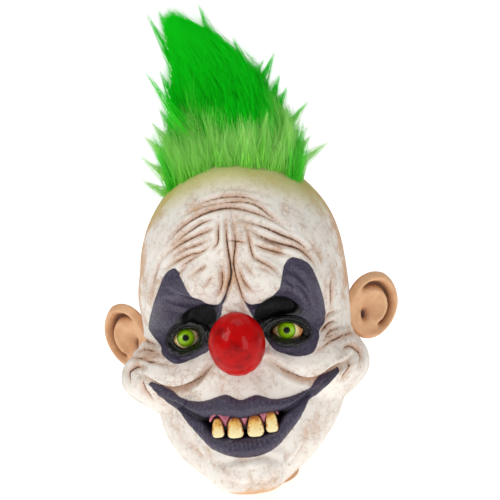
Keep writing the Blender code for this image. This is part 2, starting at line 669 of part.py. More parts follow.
def lock_shape(made, start, tip, thick):
    """One tapered lock from inside the body out to its tip, bowing upwards as it rises."""
    knee = start.lerp(tip, 0.55)
    knee.z -= (tip - start).length * 0.10
    rings = []
    for step in range(5):
        share = step / 4
        middle = start.lerp(knee, share).lerp(knee.lerp(tip, share), share)
        now = max(thick * (1 - share) ** 0.7, LOCK_TIP)
        rings.append(ring_at(made, middle, now, now, LOCK_SIDES))
    stacked(made, rings)


def tuft_shape():
    made = bmesh.new()
    rings = [ring_at(made, *tuft_section(row[0]), 16) for row in TUFT_SECTIONS]
    stacked(made, rings)
    for ring, (low, count, length, lean) in enumerate(LOCK_RINGS):
        middle, half_wide, half_deep = tuft_section(low)
        for k in range(count):
            turn = 2 * math.pi * (k + 0.5 * (ring % 2)) / count
            uneven = 0.12 * math.sin(2.4 * k + 1.7 * ring)
            side = Vector((math.cos(turn) * half_wide, math.sin(turn) * half_deep, 0))
            start = middle + side * 0.78
            rise = Vector((TUFT_LEAN / TUFT_HEIGHT, 0, 1)) + side.normalized() * lean
            tip = start + rise * length * (1 + uneven) * TUFT_HEIGHT
            lock_shape(made, start, tip, LOCK_THICKNESS * (1 - 0.35 * low))
    bmesh.ops.recalc_face_normals(made, faces=made.faces)
    bmesh.ops.transform(made, matrix=TO_WORLD, verts=made.verts)
    return made


# The skin of the mask
mask = link("mask_skin", wrapped_grid(skin, SKIN_COLUMNS, SKIN_LEVELS), (0.80, 0.74, 0.66), 0.6)
thin_out(mask, SKIN_TRIANGLES)
for side, name in ((-1, "ear_on_the_right"), (1, "ear_on_the_left")):
    boolean(mask, cutter(name, ear_shape(side)), "UNION")
inside = cutter("inside", wrapped_grid(hollow, SKIN_COLUMNS, SKIN_LEVELS, RIM_CUT))
thin_out(inside, HOLLOW_TRIANGLES)
boolean(mask, inside, "DIFFERENCE")
for name, at in EYES.items():
    boolean(mask, cutter(name + "_pocket", eye_shape(at, GAP, POCKET_REACH)), "DIFFERENCE")
for number, at in enumerate(SIGHT_SLITS):
    boolean(mask, cutter(f"slit_{number}", slit_shape(at)), "DIFFERENCE")
boolean(mask, cutter("nose_seat", nose_shape(GAP)), "DIFFERENCE")
boolean(mask, cutter("gum_seat", gum_shape(GAP)), "DIFFERENCE")

# What is set into it
link("ball_nose", nose_shape(0), (0.62, 0.03, 0.03), 0.18)
for name, at in EYES.items():
    link(name, eye_shape(at, 0, 0), (0.55, 0.75, 0.20), 0.1)
gum = link("upper_gum", gum_shape(0), (0.55, 0.22, 0.20), 0.3)
for number, row in enumerate(TEETH, 1):
    link(f"tooth_{number}", tooth_shape(row, 0), (0.80, 0.62, 0.32), 0.25)
    socket = cutter(f"tooth_{number}_socket", tooth_shape(row, GAP))
    boolean(gum, socket, "DIFFERENCE")
    boolean(mask, socket, "DIFFERENCE")

# The fur tuft, its locks fused into one body over the crown
tuft = link("fur_tuft", tuft_shape(), (0.05, 0.75, 0.10), 0.8)
fuse = tuft.modifiers.new("fuse the locks", "REMESH")
fuse.mode = "VOXEL"
fuse.voxel_size = FUR_GRAIN
thin = tuft.modifiers.new("thin out", "DECIMATE")
thin.ratio = FUR_THINNING


def crown_clearance(turn, level):
    return skin(turn, level) + outward(face_form, turn, level) * FUR_GAP


boolean(tuft, cutter("crown", wrapped_grid(crown_clearance, CROWN_COLUMNS, CROWN_LEVELS)),
        "DIFFERENCE")
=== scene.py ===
import math
import bmesh
import bpy
import numpy as np
from mathutils import Matrix, Vector, noise
from mathutils.bvhtree import BVHTree


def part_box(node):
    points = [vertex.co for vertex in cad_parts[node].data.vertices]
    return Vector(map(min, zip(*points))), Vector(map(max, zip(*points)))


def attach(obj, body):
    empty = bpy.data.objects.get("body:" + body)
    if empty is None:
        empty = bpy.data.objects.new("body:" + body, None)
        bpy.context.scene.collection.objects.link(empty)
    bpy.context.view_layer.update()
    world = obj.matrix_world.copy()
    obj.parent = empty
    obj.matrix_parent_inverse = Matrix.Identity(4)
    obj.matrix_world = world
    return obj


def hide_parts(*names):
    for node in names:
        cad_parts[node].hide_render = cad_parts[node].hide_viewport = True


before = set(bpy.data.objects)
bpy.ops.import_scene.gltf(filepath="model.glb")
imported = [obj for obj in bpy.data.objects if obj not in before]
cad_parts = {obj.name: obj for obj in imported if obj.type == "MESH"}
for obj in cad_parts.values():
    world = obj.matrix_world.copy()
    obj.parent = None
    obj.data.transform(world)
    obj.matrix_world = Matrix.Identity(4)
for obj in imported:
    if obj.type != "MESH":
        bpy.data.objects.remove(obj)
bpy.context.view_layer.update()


# The view. The mask is seen from a little above and a little to its right, from so far off
# that nothing on it looks foreshortened. Places on the face are read on this view's page, in
# millimetres across and up from the middle of the nose, with the mask upright on the page.
MM = 0.001
LOOK_DOWN = math.radians(14.5)
LOOK_ASIDE = math.radians(6.4)
PAGE_TILT = math.radians(5.73)
NOSE_MIDDLE = Vector((0, -0.1005, 0.160))
ACROSS = np.array([math.cos(LOOK_ASIDE), math.sin(LOOK_ASIDE), 0.0])
UP = np.array([
    -math.sin(LOOK_ASIDE) * math.sin(LOOK_DOWN),
    math.cos(LOOK_ASIDE) * math.sin(LOOK_DOWN),
    math.cos(LOOK_DOWN),
])
INTO = np.cross(UP, ACROSS)

CAMERA_DISTANCE = 4.0
VIEW_WIDTH = 0.460
VIEW_MIDDLE = (0.01196, 0.0865)
SENSOR = 36.0
image_right = Vector(math.cos(PAGE_TILT) * ACROSS - math.sin(PAGE_TILT) * UP)
image_up = Vector(math.sin(PAGE_TILT) * ACROSS + math.cos(PAGE_TILT) * UP)
toward = -Vector(INTO)
aim = NOSE_MIDDLE + image_right * VIEW_MIDDLE[0] + image_up * VIEW_MIDDLE[1]
camera_data = bpy.data.cameras.new("camera")
camera_data.sensor_width = SENSOR
camera_data.lens = SENSOR * CAMERA_DISTANCE / VIEW_WIDTH
camera_data.clip_end = 50
camera = bpy.data.objects.new("camera", camera_data)
camera.matrix_world = (Matrix.Translation(aim + toward * CAMERA_DISTANCE)
                       @ Matrix((image_right, image_up, toward)).transposed().to_4x4())
bpy.context.collection.objects.link(camera)
bpy.context.scene.camera = camera
bpy.context.scene.view_settings.view_transform = "Standard"


# The studio. A plain white floor, a pale room, and soft boxes to the left and right of the
# camera, which give the two upright highlights on the ball nose. Directions are right, up
# and towards the camera; distances and sizes in metres, power in watts.
LIGHTS_AIM = NOSE_MIDDLE + Vector((0, 0, 0.05))


def soft_box(name, direction, distance, wide, high, power):
    """A soft box that faces the mask from its place."""
    data = bpy.data.lights.new(name, "AREA")
    data.shape = "RECTANGLE"
    data.size = wide
    data.size_y = high
    data.energy = power
    box = bpy.data.objects.new(name, data)
    way = (image_right * direction[0] + image_up * direction[1] + toward * direction[2])
    way.normalize()
    box.location = LIGHTS_AIM + way * distance
    box.rotation_euler = way.to_track_quat("Z", "Y").to_euler()
    bpy.context.collection.objects.link(box)


soft_box("left soft box", (-0.67, 0.42, 0.60), 1.3, 0.42, 0.90, 6.5)
soft_box("right soft box", (0.60, -0.02, 0.80), 1.4, 0.38, 0.80, 3.2)
soft_box("top soft box", (0.0, 0.95, 0.15), 1.5, 1.2, 0.9, 6)
ROOM_LIGHT = 0.32
world = bpy.data.worlds.new("room")
world.use_nodes = True
world.node_tree.nodes["Background"].inputs["Color"].default_value = (1, 1, 1, 1)
world.node_tree.nodes["Background"].inputs["Strength"].default_value = ROOM_LIGHT
bpy.context.scene.world = world

FLOOR_REACH = 6.0
FLOOR_WHITE = 0.94
FLOOR_GLOW = 0.70
made = bmesh.new()
bmesh.ops.create_grid(made, x_segments=1, y_segments=1, size=FLOOR_REACH)
floor_mesh = bpy.data.meshes.new("studio_floor")
made.to_mesh(floor_mesh)
made.free()
floor = bpy.data.objects.new("studio_floor", floor_mesh)
bpy.context.collection.objects.link(floor)
floor_material = bpy.data.materials.new("white floor")
floor_material.use_nodes = True
floor_surface = floor_material.node_tree.nodes["Principled BSDF"]
floor_surface.inputs["Base Color"].default_value = (FLOOR_WHITE, FLOOR_WHITE, FLOOR_WHITE, 1)
floor_surface.inputs["Roughness"].default_value = 0.9
floor_surface.inputs["Emission Color"].default_value = (1, 1, 1, 1)
floor_surface.inputs["Emission Strength"].default_value = FLOOR_GLOW
floor_mesh.materials.append(floor_material)


# The latex skin. The real mask is one hollow casting, about 2.8 mm thick: face, lips, lids,
# ears and a short neck, painted white over tan latex, with brown worked into every fold.
THIRD = 100.0
HALF_WIDTH = 100.0
DEPTH = 228.0
WALL = 2.8
RIM_HEIGHT = -160.0

# height (THIRD), half width (HALF_WIDTH), front, widest, back (DEPTH), fullness,
# shift to the side (HALF_WIDTH)
SECTIONS = (
    (-1.60, 0.40, 0.260, 0.47, 0.830, 2.1, -0.06),
    (-1.54, 0.40, 0.245, 0.47, 0.825, 2.1, -0.06),
    (-1.48, 0.43, 0.130, 0.42, 0.825, 2.2, -0.06),
    (-1.36, 0.53, 0.066, 0.36, 0.828, 2.2, -0.05),
    (-1.21, 0.67, 0.044, 0.33, 0.842, 2.2, -0.045),
    (-1.02, 0.80, 0.048, 0.33, 0.860, 2.2, -0.03),
    (-0.80, 0.88, 0.052, 0.35, 0.885, 2.2, -0.01),
    (-0.50, 0.93, 0.048, 0.39, 0.930, 2.2, 0.00),
    (-0.20, 0.97, 0.052, 0.43, 0.975, 2.2, 0.00),
    (0.10, 0.98, 0.056, 0.45, 1.000, 2.1, 0.00),
    (0.38, 0.97, 0.056, 0.46, 0.998, 2.1, 0.00),
    (0.64, 0.94, 0.056, 0.47, 0.980, 2.1, 0.00),
    (0.88, 0.865, 0.072, 0.48, 0.935, 2.1, 0.00),
    (1.09, 0.74, 0.118, 0.49, 0.868, 2.0, 0.00),
    (1.28, 0.56, 0.188, 0.50, 0.784, 2.0, 0.00),
    (1.42, 0.40, 0.275, 0.51, 0.710, 2.0, 0.00),
    (1.52, 0.22, 0.392, 0.515, 0.625, 2.0, 0.00),
    (1.56, 0.00, 0.517, 0.517, 0.517, 2.0, 0.00),
)
LAST = len(SECTIONS) - 1
CROWN_BACK = 0.517   # of DEPTH, as in the last section
# where the sculpted face ends and how softly: shares of DEPTH, then levels above the rim
FACE_END, FACE_FADE = 0.72, 0.22
NECK_LEVEL, NECK_FADE = 1.1, 1.5
# how squarely the skin has to face the viewer to take detail, and how softly that ends
TURNED_AWAY, TURNED_FADE = -0.35, 0.3

# across, up, half length, half height, lean in degrees, rise, edge
BULGES = (
    (-85, -25, 48, 36, 0, 29.0, 1.3),
    (92, -27.5, 49, 34, 0, 21.0, 1.3),
    (0, -78, 80, 62, 0, 13.0, 2.0),
    (0, -120, 44, 33, 0, 12.0, 1.5),
    (-16, -119, 19, 17, 0, 4.0, 1.5),
    (17, -121, 17, 16, 0, 3.8, 1.5),
    (-29, 58, 30, 27, 25, 10.0, 1.4),
    (28, 53, 30, 27, -25, 10.0, 1.4),
    (1, 30, 17, 50, 0, 7.0, 2.0),
    (-66, 50, 34, 34, 40, 5.5, 2.0),
    (70, 46, 34, 34, -40, 5.5, 2.0),
    (-44, 18, 42, 34, -8, -15.0, 1.6),
    (46, 16, 42, 34, 8, -15.0, 1.6),
    (-46, 8, 24, 20, -4, 7.5, 1.2),
    (47, 6, 24, 20, 4, 7.5, 1.2),
    (-30, 30, 18, 9, 20, -7.0, 1.2),
    (37, 27, 24, 9, -4, -7.0, 1.2),
    (-2, 100, 55, 50, 0, 4.5, 2.0),
)

# Creases and rolls: places as across and up, then half breadth, depth (a roll's is negative)
# and how dark the paint is that has gathered in it
FOLDS = (
    # smile lines and the cheeks' curls
    ((-20, -14), (-30, -22), (-44, -33), (-61, -37), (-75, -33), (-86, -25), (-96, -19), 2.6, 8.0, 0.9),
    ((23, -15), (31, -21), (46, -33), (58, -40), (72, -40), (87, -32), (103, -26), (109, -18),
     2.6, 8.0, 0.8),
    ((-24, -5), (-42, -21), (-66, -25), (-86, -16), 8.0, -6.0, 0),
    ((27, -7), (46, -22), (70, -27), (94, -16), 8.0, -6.0, 0),
    ((-84, -15), (-95, -12), (-103, -15), (-105, -20), (-103, -31), 2.2, 4.0, 1.0),
    ((95, -17), (104, -12), (113, -18), (114, -25), (109, -36), 2.2, 4.0, 0.9),
    ((-92, -24), (-91, -30), (-89, -37), (-81, -51), 2.2, 3.8, 1.0),
    ((105, -25), (102, -32), (97, -39), (93, -46), 2.2, 3.5, 0.9),
    ((-84, -30), (-80, -38), (-74, -47), (-70, -58), 1.8, 1.6, 0.5),
    # crow's feet
    ((-92, 11), (-87, 11), (-80, 8), (-74, 5), 1.7, 2.6, 0.9),
    ((-91, 3), (-87, 3), (-80, 1), (-69, -6), 1.7, 2.6, 0.9),
    ((-104, -4), (-90, -5), (-79, -10), (-62, -14), 1.8, 3.0, 1.0),
    ((-96, 4), (-88, -1), (-80, -4), (-70, -10), 1.4, 1.6, 0.7),
    ((77, 2), (82, 6), (88, 10), (96, 12), 1.7, 2.8, 0.9),
    ((79, -6), (86, 2), (91, 4), (97, 5), 1.6, 2.6, 0.9),
    ((67, -17), (78, -11), (90, -5), (107, -1), (114, -5), 1.8, 3.0, 0.8),
    ((80, 9), (85, 16), (92, 20), (99, 21), 1.5, 1.8, 0.7),
    ((72, -11), (82, -4), (90, -1), (100, 1), 1.3, 1.5, 0.6),
    # jaw and chin
    ((-52, -82), (-50, -93), (-44, -102), (-38, -110), 2.6, 3.0, 0.5),
    ((-41, -90), (-37, -97), (-34, -109), 2.2, 2.0, 0.5),
    ((56, -80), (54, -98), (45, -111), (36, -117), 2.6, 3.0, 0.5),
    ((36, -100), (35, -108), (34, -114), 2.2, 2.0, 0.5),
    ((-31, -114), (-28, -123), (-14, -130), (-1, -133), (15, -131), (29, -125), 3.0, 2.2, 0.35),
    ((-30, -112), (-14, -107), (0, -108), (14, -107), (30, -113), 3.2, 3.4, 0.45),
    ((0, -113), (0, -120), (0, -126), (1, -131), 3.0, 3.0, 0.35),
    ((-66, -66), (-63, -80), (-57, -94), 2.6, 1.6, 0.4),
    ((68, -62), (66, -80), (60, -96), 2.6, 1.6, 0.4),
    # arcs over the forehead
    ((-5, 143), (13, 143), (32, 138), (50, 131), 1.6, 1.4, 0.4),
    ((-30, 130), (-5, 136), (18, 135), (42, 125), 1.8, 2.6, 0.9),
    ((-43, 122), (-13, 130), (24, 129), (44, 114), (58, 102), 1.8, 2.6, 0.8),
    ((-58, 97), (-45, 110), (-25, 121), (-4, 126), (16, 124), (42, 112), (63, 96), 1.9, 3.2, 0.9),
    ((-61, 90), (-34, 108), (-20, 115), (-8, 117), 1.8, 2.8, 0.8),
    ((9, 116), (36, 105), (52, 96), (66, 88), (78, 74), 2.0, 3.4, 1.0),
    ((-65, 82), (-51, 93), (-34, 101), (-18, 106), (-5, 110), 1.8, 3.0, 0.8),
    ((11, 111), (35, 95), (50, 88), (65, 82), (76, 72), (82, 60), 2.0, 3.4, 1.0),
    ((-56, 83), (-41, 91), (-25, 95), (-11, 101), 1.7, 2.6, 0.7),
    ((-63, 74), (-49, 81), (-35, 86), (-23, 88), (-9, 98), 1.8, 3.0, 0.8),
    ((-47, 75), (-36, 81), (-25, 86), 1.6, 2.2, 0.7),
    ((-42, 64), (-34, 68), (-24, 74), (-19, 77), 1.6, 2.2, 0.6),
    ((-52, 66), (-44, 73), (-37, 77), 1.5, 1.8, 0.6),
    ((22, 91), (34, 85), (47, 80), (58, 76), 1.8, 3.0, 0.9),
    ((22, 82), (28, 75), (38, 68), (46, 60), 1.7, 2.6, 0.8),
    ((26, 99), (40, 90), (54, 84), 1.5, 2.0, 0.7),
    ((24, 70), (32, 66), (40, 61), 1.5, 1.8, 0.6),
    # upright lines between the brows
    ((-5, 117), (-7, 106), (-9, 94), (-17, 87), 1.7, 2.8, 0.8),
    ((2, 123), (0, 96), (1, 67), (-5, 48), (-9, 38), 2.0, 4.2, 1.0),
    ((7, 121), (8, 95), (4, 70), (9, 43), (14, 31), 1.9, 3.8, 0.9),
    ((20, 107), (21, 94), (23, 79), (29, 72), 1.7, 2.8, 0.8),
    ((-3, 96), (10, 94), (20, 91), 1.3, 1.4, 0.8),
    # hollows inside the brows
    ((-7, 76), (-7, 63), (-9, 53), (-15, 42), 2.0, 3.2, 0.8),
    ((-14, 66), (-20, 60), (-25, 52), 1.8, 2.2, 0.6),
    ((-21, 76), (-24, 73), (-27, 68), 1.5, 1.8, 0.6),
    ((7, 74), (10, 61), (14, 52), (21, 42), 2.0, 3.2, 0.8),
    ((14, 76), (18, 66), (24, 60), 1.8, 2.2, 0.6),
    ((-12, 36), (-5, 30), (3, 28), 1.6, 1.2, 0.5),
    ((4, 36), (9, 30), (12, 24), 1.6, 1.4, 0.6),
    # temples
    ((95, 58), (92, 44), (91, 32), (89, 16), 1.4, 1.5, 0.8),
    ((89, 62), (87, 46), (87, 30), (85, 18), 1.3, 1.1, 0.5),
    ((-57, 94), (-67, 77), (-74, 57), (-78, 39), 1.5, 1.6, 0.6),
    ((-69, 92), (-77, 72), (-82, 52), (-83, 30), 1.3, 1.1, 0.4),
    ((68, 100), (80, 82), (87, 62), 1.3, 1.2, 0.5),
    # dark patches: brow rolls and bags under the eyes
    ((-60, 58), (-52, 50), (-40, 44), (-26, 42), 2.0, 2.2, 0),
    ((-66, 48), (-56, 40), (-44, 36), 2.0, 2.0, 0),
    ((57, 64), (66, 54), (72, 42), (76, 28), 2.2, 2.6, 0),
    ((50, 56), (58, 48), (66, 38), (70, 26), 2.0, 2.4, 0),
    ((-62, -2), (-54, -8), (-44, -10), (-33, -6), 1.6, 1.6, 0),
    ((-66, 2), (-58, -6), (-48, -14), 1.5, 1.2, 0),
    ((34, -4), (42, -10), (54, -12), (66, -8), 1.6, 1.6, 0),
    ((30, 0), (38, -13), (54, -16), (70, -12), 1.5, 1.2, 0),
    # between nose and lip
    ((-14, -32), (-18, -40), (-17, -47), 1.8, 1.2, 0.5),
    ((12, -34), (16, -41), (17, -48), 1.8, 1.2, 0.4),
    ((-4, -38), (-3, -44), (-2, -50), 2.4, 1.6, 0.4),
)
FOLD_REACH = 6.0
LINE_BREADTH = 2.0
WASH_BREADTH = 3.4
WASH_STRENGTH = 1.2

# Lips and the gap between them: across, top of upper lip, top of gap, bottom of gap, bottom
# of lower lip
MOUTH = (
    (-86, -27, -28, -28, -29), (-71, -36, -41, -43, -47), (-60, -41, -49, -51, -57),
    (-50, -48, -58, -62, -72), (-39, -50, -65, -71, -88), (-30, -49, -66, -82, -97),
    (-15, -46, -67, -87, -104), (-2, -52, -69, -88, -106), (13, -49, -67, -88, -105),
    (27, -54, -66, -84, -99), (38, -54, -65, -71, -89), (50, -52, -59, -61, -76),
    (60, -48, -52, -54, -60), (72, -41, -45, -47, -52), (93, -31, -32, -32, -33),
)
LIP_RISE = 5.5
LIP_FULL = 10.0
LIP_CREASE = 1.40
LIP_CREASE_SPACING = 4.4
MOUTH_DEPTH = 13.0
GAP_EDGE = 4.0

# Painted outlines on the page
PATCHES = (
    ((-50, 75), (-45, 65), (-38, 49), (-24, 40), (-16, 38), (-11, 40), (-3, 52), (-10, 36),
     (-12, 28), (-25, -2), (-33, -7), (-44, -11), (-58, -14), (-70, -4), (-71, 4), (-79, 16),
     (-81, 24), (-75, 41), (-67, 58), (-60, 70)),
    ((61, 74), (73, 67), (80, 51), (84, 31), (84, 14), (77, 4), (76, -3), (68, -16), (50, -17),
     (34, -9), (26, 4), (17, 23), (12, 35), (5, 51), (10, 40), (14, 36), (21, 35), (30, 37),
     (43, 46), (47, 57), (50, 67), (55, 73)),
)
RECESSES = (
    ((-50, 24), (-45, 31), (-38, 35), (-28, 37), (-19, 34), (-18, 24), (-24, 14), (-30, 20), (-40, 25)),
    ((17, 14), (21, 27), (28, 35), (38, 38), (50, 36), (58, 29), (55, 24), (42, 25), (29, 20)),
)
# black over the recesses above the eyes: partly black paint, partly painted shadow of the sockets
BLACK_AND_SHADOW_OUTLINES = (
    ((-56, 22), (-48, 32), (-38, 37), (-26, 39), (-17, 35), (-15, 22), (-18, 8), (-26, 0), (-38, 10)),
    ((14, 12), (19, 28), (27, 37), (38, 41), (52, 38), (61, 30), (63, 22), (48, 14), (28, 4), (19, 4)),
)
RECESS_DEPTH = 6.0
POCKET_DEPTH = 15.0
LID_SEAT = 1.2
FAR_OUTSIDE = -12.0
EYE_OPENINGS = {
    "eye_right": ((-59, 9), (-53, 16), (-45, 18), (-37, 15), (-35, 9), (-39, 3), (-50, 0), (-57, 4)),
    "eye_left": ((33, 8), (39, 13), (47, 15), (57, 12), (63, 4), (56, 0), (46, -1), (38, 3)),
}
# how far the black paint runs past an eye's opening, and how the black, paint and painted shadow alike,
# changes roughness
LID_BLACK = 7.5
LID_GLOSS = -0.20
RECESS_MATT = 0.35
# half width and half depth of the green tint round the fur's foot, seen from above
HAIRLINE = (64.0, 46.0)


def smooth_rows(rows, at, before=None, after=None):
    """The rows of a table at the places in at, counted in rows, on a smooth curve."""
    rows = np.array(rows, float)
    before = 2 * rows[0] - rows[1] if before is None else before
    after = 2 * rows[-1] - rows[-2] if after is None else after
    rows = np.vstack([before, rows, after])
    step = np.clip(np.floor(at).astype(int), 0, len(rows) - 4)
    part = (at - step)[..., None]
    a, b, c, d = (rows[step + k] for k in range(4))
    return 0.5 * (2 * b + (c - a) * part + (2 * a - 5 * b + 4 * c - d) * part**2
                  + (3 * b - a - 3 * c + d) * part**3)


def eased(share):
    """0 to 1 with a soft start and end."""
    share = np.clip(share, 0, 1)
    return share * share * (3 - 2 * share)


def head_form(turn, level):
    """The plain head at angles round it and levels up it, about the middle of the nose."""
    height, half, front, widest, back, full, aside = SECTIONS[-2]
    over_the_crown = (height, -half, back, widest, front, full, aside)
    row = smooth_rows(SECTIONS, level, after=over_the_crown)
    height, half, front, widest, back, full, aside = np.moveaxis(row, -1, 0)
    side, ahead = np.sin(turn), np.cos(turn)
    reach = np.where(ahead > 0, widest - front, back - widest) * DEPTH
    x = (aside + half * np.sign(side) * np.abs(side) ** (2 / full)) * HALF_WIDTH
    y = widest * DEPTH - reach * np.sign(ahead) * np.abs(ahead) ** (2 / full)
    return np.stack([x, y, height * THIRD], -1)


def outward(surface, turn, level):
    """Unit normals of a surface that is given by turn and level."""
    small = 0.02
    below = np.clip(level, 0, LAST - 2 * small)
    round_it = surface(turn + small, below) - surface(turn - small, below)
    up_it = surface(turn, below + small) - surface(turn, below - small)
    normal = np.cross(round_it, up_it)
    normal /= np.linalg.norm(normal, axis=-1, keepdims=True)
    return np.where((level > LAST - small)[..., None], (0.0, 0.0, 1.0), normal)


def drawn(points):
    """Where points are seen on the page, across and up."""
    return points @ ACROSS, points @ UP


def on_face(points, level):
    """1 on the face, falling to 0 behind the ears and on the plain neck."""
    before_ears = eased((FACE_END - points[..., 1] / DEPTH) / FACE_FADE)
    return before_ears * eased((level - NECK_LEVEL) / NECK_FADE)


def face_form(turn, level):
    """The head with the soft volumes of the face."""
    plain = head_form(turn, level)
    across, up = drawn(plain)
    rise = np.zeros_like(across)
    for at_x, at_y, length, height, lean, top, edge in BULGES:
        angle = math.radians(lean)
        dx, dy = across - at_x, up - at_y
        along = (dx * math.cos(angle) + dy * math.sin(angle)) / length
        over = (dy * math.cos(angle) - dx * math.sin(angle)) / height
        rise += top * np.clip(1 - along**2 - over**2, 0, 1) ** edge
    return plain + outward(head_form, turn, level) * (rise * on_face(plain, level))[..., None]


def line_distance(across, up, line):
    """Distance of each point from a line of places, and how far along it that is."""
    here = np.stack([across, up], -1)
    nearest = np.full(across.shape, 1e3)
    along = np.zeros(across.shape)
    for k in range(len(line) - 1):
        run = line[k + 1] - line[k]
        share = np.clip((here - line[k]) @ run / (run @ run), 0, 1)
        away = np.linalg.norm(here - line[k] - share[..., None] * run, axis=-1)
        along = np.where(away < nearest, (k + share) / (len(line) - 1), along)
        nearest = np.minimum(nearest, away)
    return nearest, along


def close_by(across, up, line, reach):
    """Which points lie in the box round a line, widened by reach on each side."""
    low, high = line.min(0) - reach, line.max(0) + reach
    return (across > low[0]) & (across < high[0]) & (up > low[1]) & (up < high[1])


def fold_marks(across, up):
    """Rise of all folds, the dark line in each, and the warm wash along it."""
    rise, stain, wash = (np.zeros_like(across) for _ in range(3))
    for *places, breadth, depth, dark in FOLDS:
        places = np.array(places, float)
        steps = np.linspace(0, len(places) - 1, 5 * len(places))
        line = smooth_rows(places, steps)
        near = close_by(across, up, line, 4 * breadth + FOLD_REACH)
        if not near.any():
            continue
        away, along = line_distance(across[near], up[near], line)
        fade = np.clip(np.sin(np.pi * along), 0, 1) ** 0.5
        share = away / breadth
        groove = np.exp(-share**1.4) - 0.28 * np.exp(-(((share - 2.1) / 0.9) ** 2))
        rise[near] -= depth * fade * (groove if depth > 0 else np.exp(-share**1.6))
        stain[near] = np.maximum(stain[near], dark * fade * np.clip(1 - away / LINE_BREADTH, 0, 1))
        soft = min(1, WASH_STRENGTH * dark) * fade * np.exp(-((away / WASH_BREADTH) ** 2))
        wash[near] = np.maximum(wash[near], soft)
    return rise, stain, wash


def mouth_rows(across):
    """The four edges of the lips and the gap at places across."""
    steps = np.linspace(0, len(MOUTH) - 1, 141)
    rows = smooth_rows(MOUTH, steps)
    return [np.interp(across, rows[:, 0], rows[:, k]) for k in range(1, 5)]


def mouth_rise(across, up):
    """Two full lips with the dark gap of the mouth sunk between them."""
    lip_top, gap_top, gap_bottom, lip_bottom = mouth_rows(across)
    inside = (across > MOUTH[0][0]) & (across < MOUTH[-1][0])
    rise = np.zeros_like(across)
    for high, low in ((lip_top, gap_top), (gap_bottom, lip_bottom)):
        thick = np.maximum(high - low, 1e-3)
        share = np.clip((high - up) / thick, 0, 1)
        full = np.sin(np.pi * share) ** 0.7 * np.clip(thick / LIP_FULL, 0, 1)
        wander = 0.9 * np.sin(across / 7) + 0.05 * up
        crease = np.abs(np.sin(np.pi * across / LIP_CREASE_SPACING + wander))
        rise += full * (LIP_RISE - LIP_CREASE * (1 - crease) ** 2)
    edge = np.minimum(gap_top - up, up - gap_bottom)
    deepest = np.clip((gap_top - gap_bottom) / MOUTH_DEPTH * 1.5, 0, 1) * MOUTH_DEPTH
    rise -= deepest * eased(edge / GAP_EDGE)
    return np.where(inside, rise, 0)


def closed_curve(outline, count):
    """Places evenly along a smooth closed outline."""
    ring = np.array(outline + outline[:3], float)
    steps = 1 + np.arange(count) / count * len(outline)
    return smooth_rows(ring[1:-1], steps - 1, ring[0], ring[-1])


def inside_by(across, up, outline):
    """How far inside a closed outline each point lies; negative outside it."""
    line = closed_curve(outline, 5 * len(outline))
    line = np.vstack([line, line[:1]])
    result = np.full(across.shape, FAR_OUTSIDE)
    near = close_by(across, up, line, -FAR_OUTSIDE)
    x, y = across[near], up[near]
    away = line_distance(x, y, line)[0]
    crossings = np.zeros(x.shape, int)
    for (x0, y0), (x1, y1) in zip(line, line[1:]):
        spans = (y0 > y) != (y1 > y)
        crossings += spans & (x < x0 + (y - y0) / np.where(y1 == y0, 1, y1 - y0) * (x1 - x0))
    result[near] = np.where(crossings % 2 == 1, away, -away)
    return result


def inside_any(across, up, outlines):
    """How far inside the nearest of several outlines each point lies."""
    return np.max([inside_by(across, up, outline) for outline in outlines], axis=0)


def seen(turn, level):
    """How squarely the skin faces the viewer."""
    return -(outward(head_form, turn, level) @ INTO)


def skin(turn, level, pockets=True):
    """The outside of the mask, with or without the pockets that the eyes sit in."""
    points = face_form(turn, level)
    across, up = drawn(points)
    rise = fold_marks(across, up)[0] + mouth_rise(across, up)
    for recess in RECESSES:
        rise = rise - RECESS_DEPTH * eased((inside_by(across, up, recess) + 1) / 3)
    if pockets:
        for opening in EYE_OPENINGS.values():
            rise = rise - POCKET_DEPTH * eased((inside_by(across, up, opening) + 3) / 3)
            rise = rise - LID_SEAT * eased((inside_by(across, up, opening) + 9) / 3)
    rise = rise * on_face(points, level) * eased((seen(turn, level) - TURNED_AWAY) / TURNED_FADE)
    return points + outward(face_form, turn, level) * rise[..., None]


def paints(across, up):
    """The painter's marks on the face, with the shadow painted over the recesses above the eyes, for
    the material to read.
    """
    stain, wash = fold_marks(across, up)[1:]
    lip_top, gap_top, gap_bottom, lip_bottom = mouth_rows(across)
    inside = (across > MOUTH[0][0]) & (across < MOUTH[-1][0])
    lips = np.where(inside, np.minimum(lip_top - up, up - lip_bottom), FAR_OUTSIDE)
    gap = np.where(inside, np.minimum(gap_top - up, up - gap_bottom), FAR_OUTSIDE)
    purple = np.maximum(lips, inside_any(across, up, PATCHES))
    # black paint in the mouth's gap and on the lids; over the recesses above the eyes, painted shadow
    # as well
    black = np.maximum(gap, inside_any(across, up, BLACK_AND_SHADOW_OUTLINES)) - 0.5
    black = np.maximum(black, inside_any(across, up, EYE_OPENINGS.values()) + LID_BLACK)
    deep = inside_any(across, up, RECESSES)
    matt = LID_GLOSS + (RECESS_MATT - LID_GLOSS) * eased((deep + 3) / 4)
    return {"stain": stain, "wash": wash, "purple": purple, "black": black, "matt": matt}


def wrapped_grid(surface, columns, rows, crowding, row_places):
    """A grid wrapped round the head from the neck rim to the crown, open at the rim."""
    made = bmesh.new()
    bmesh.ops.create_grid(made, x_segments=columns, y_segments=rows, size=1)
    flat = np.array([vert.co for vert in made.verts])
    turn = np.pi * flat[:, 0] - crowding * np.sin(np.pi * flat[:, 0])
    level = np.interp((flat[:, 1] + 1) / 2, *row_places)
    places = surface(turn, level)
    places[level < 1e-6, 2] = RIM_HEIGHT
    for vert, place in zip(made.verts, places):
        vert.co = NOSE_MIDDLE + Vector(place) * MM
    return made, turn, level


def open_edges(made):
    return [edge for edge in made.edges if edge.is_boundary]


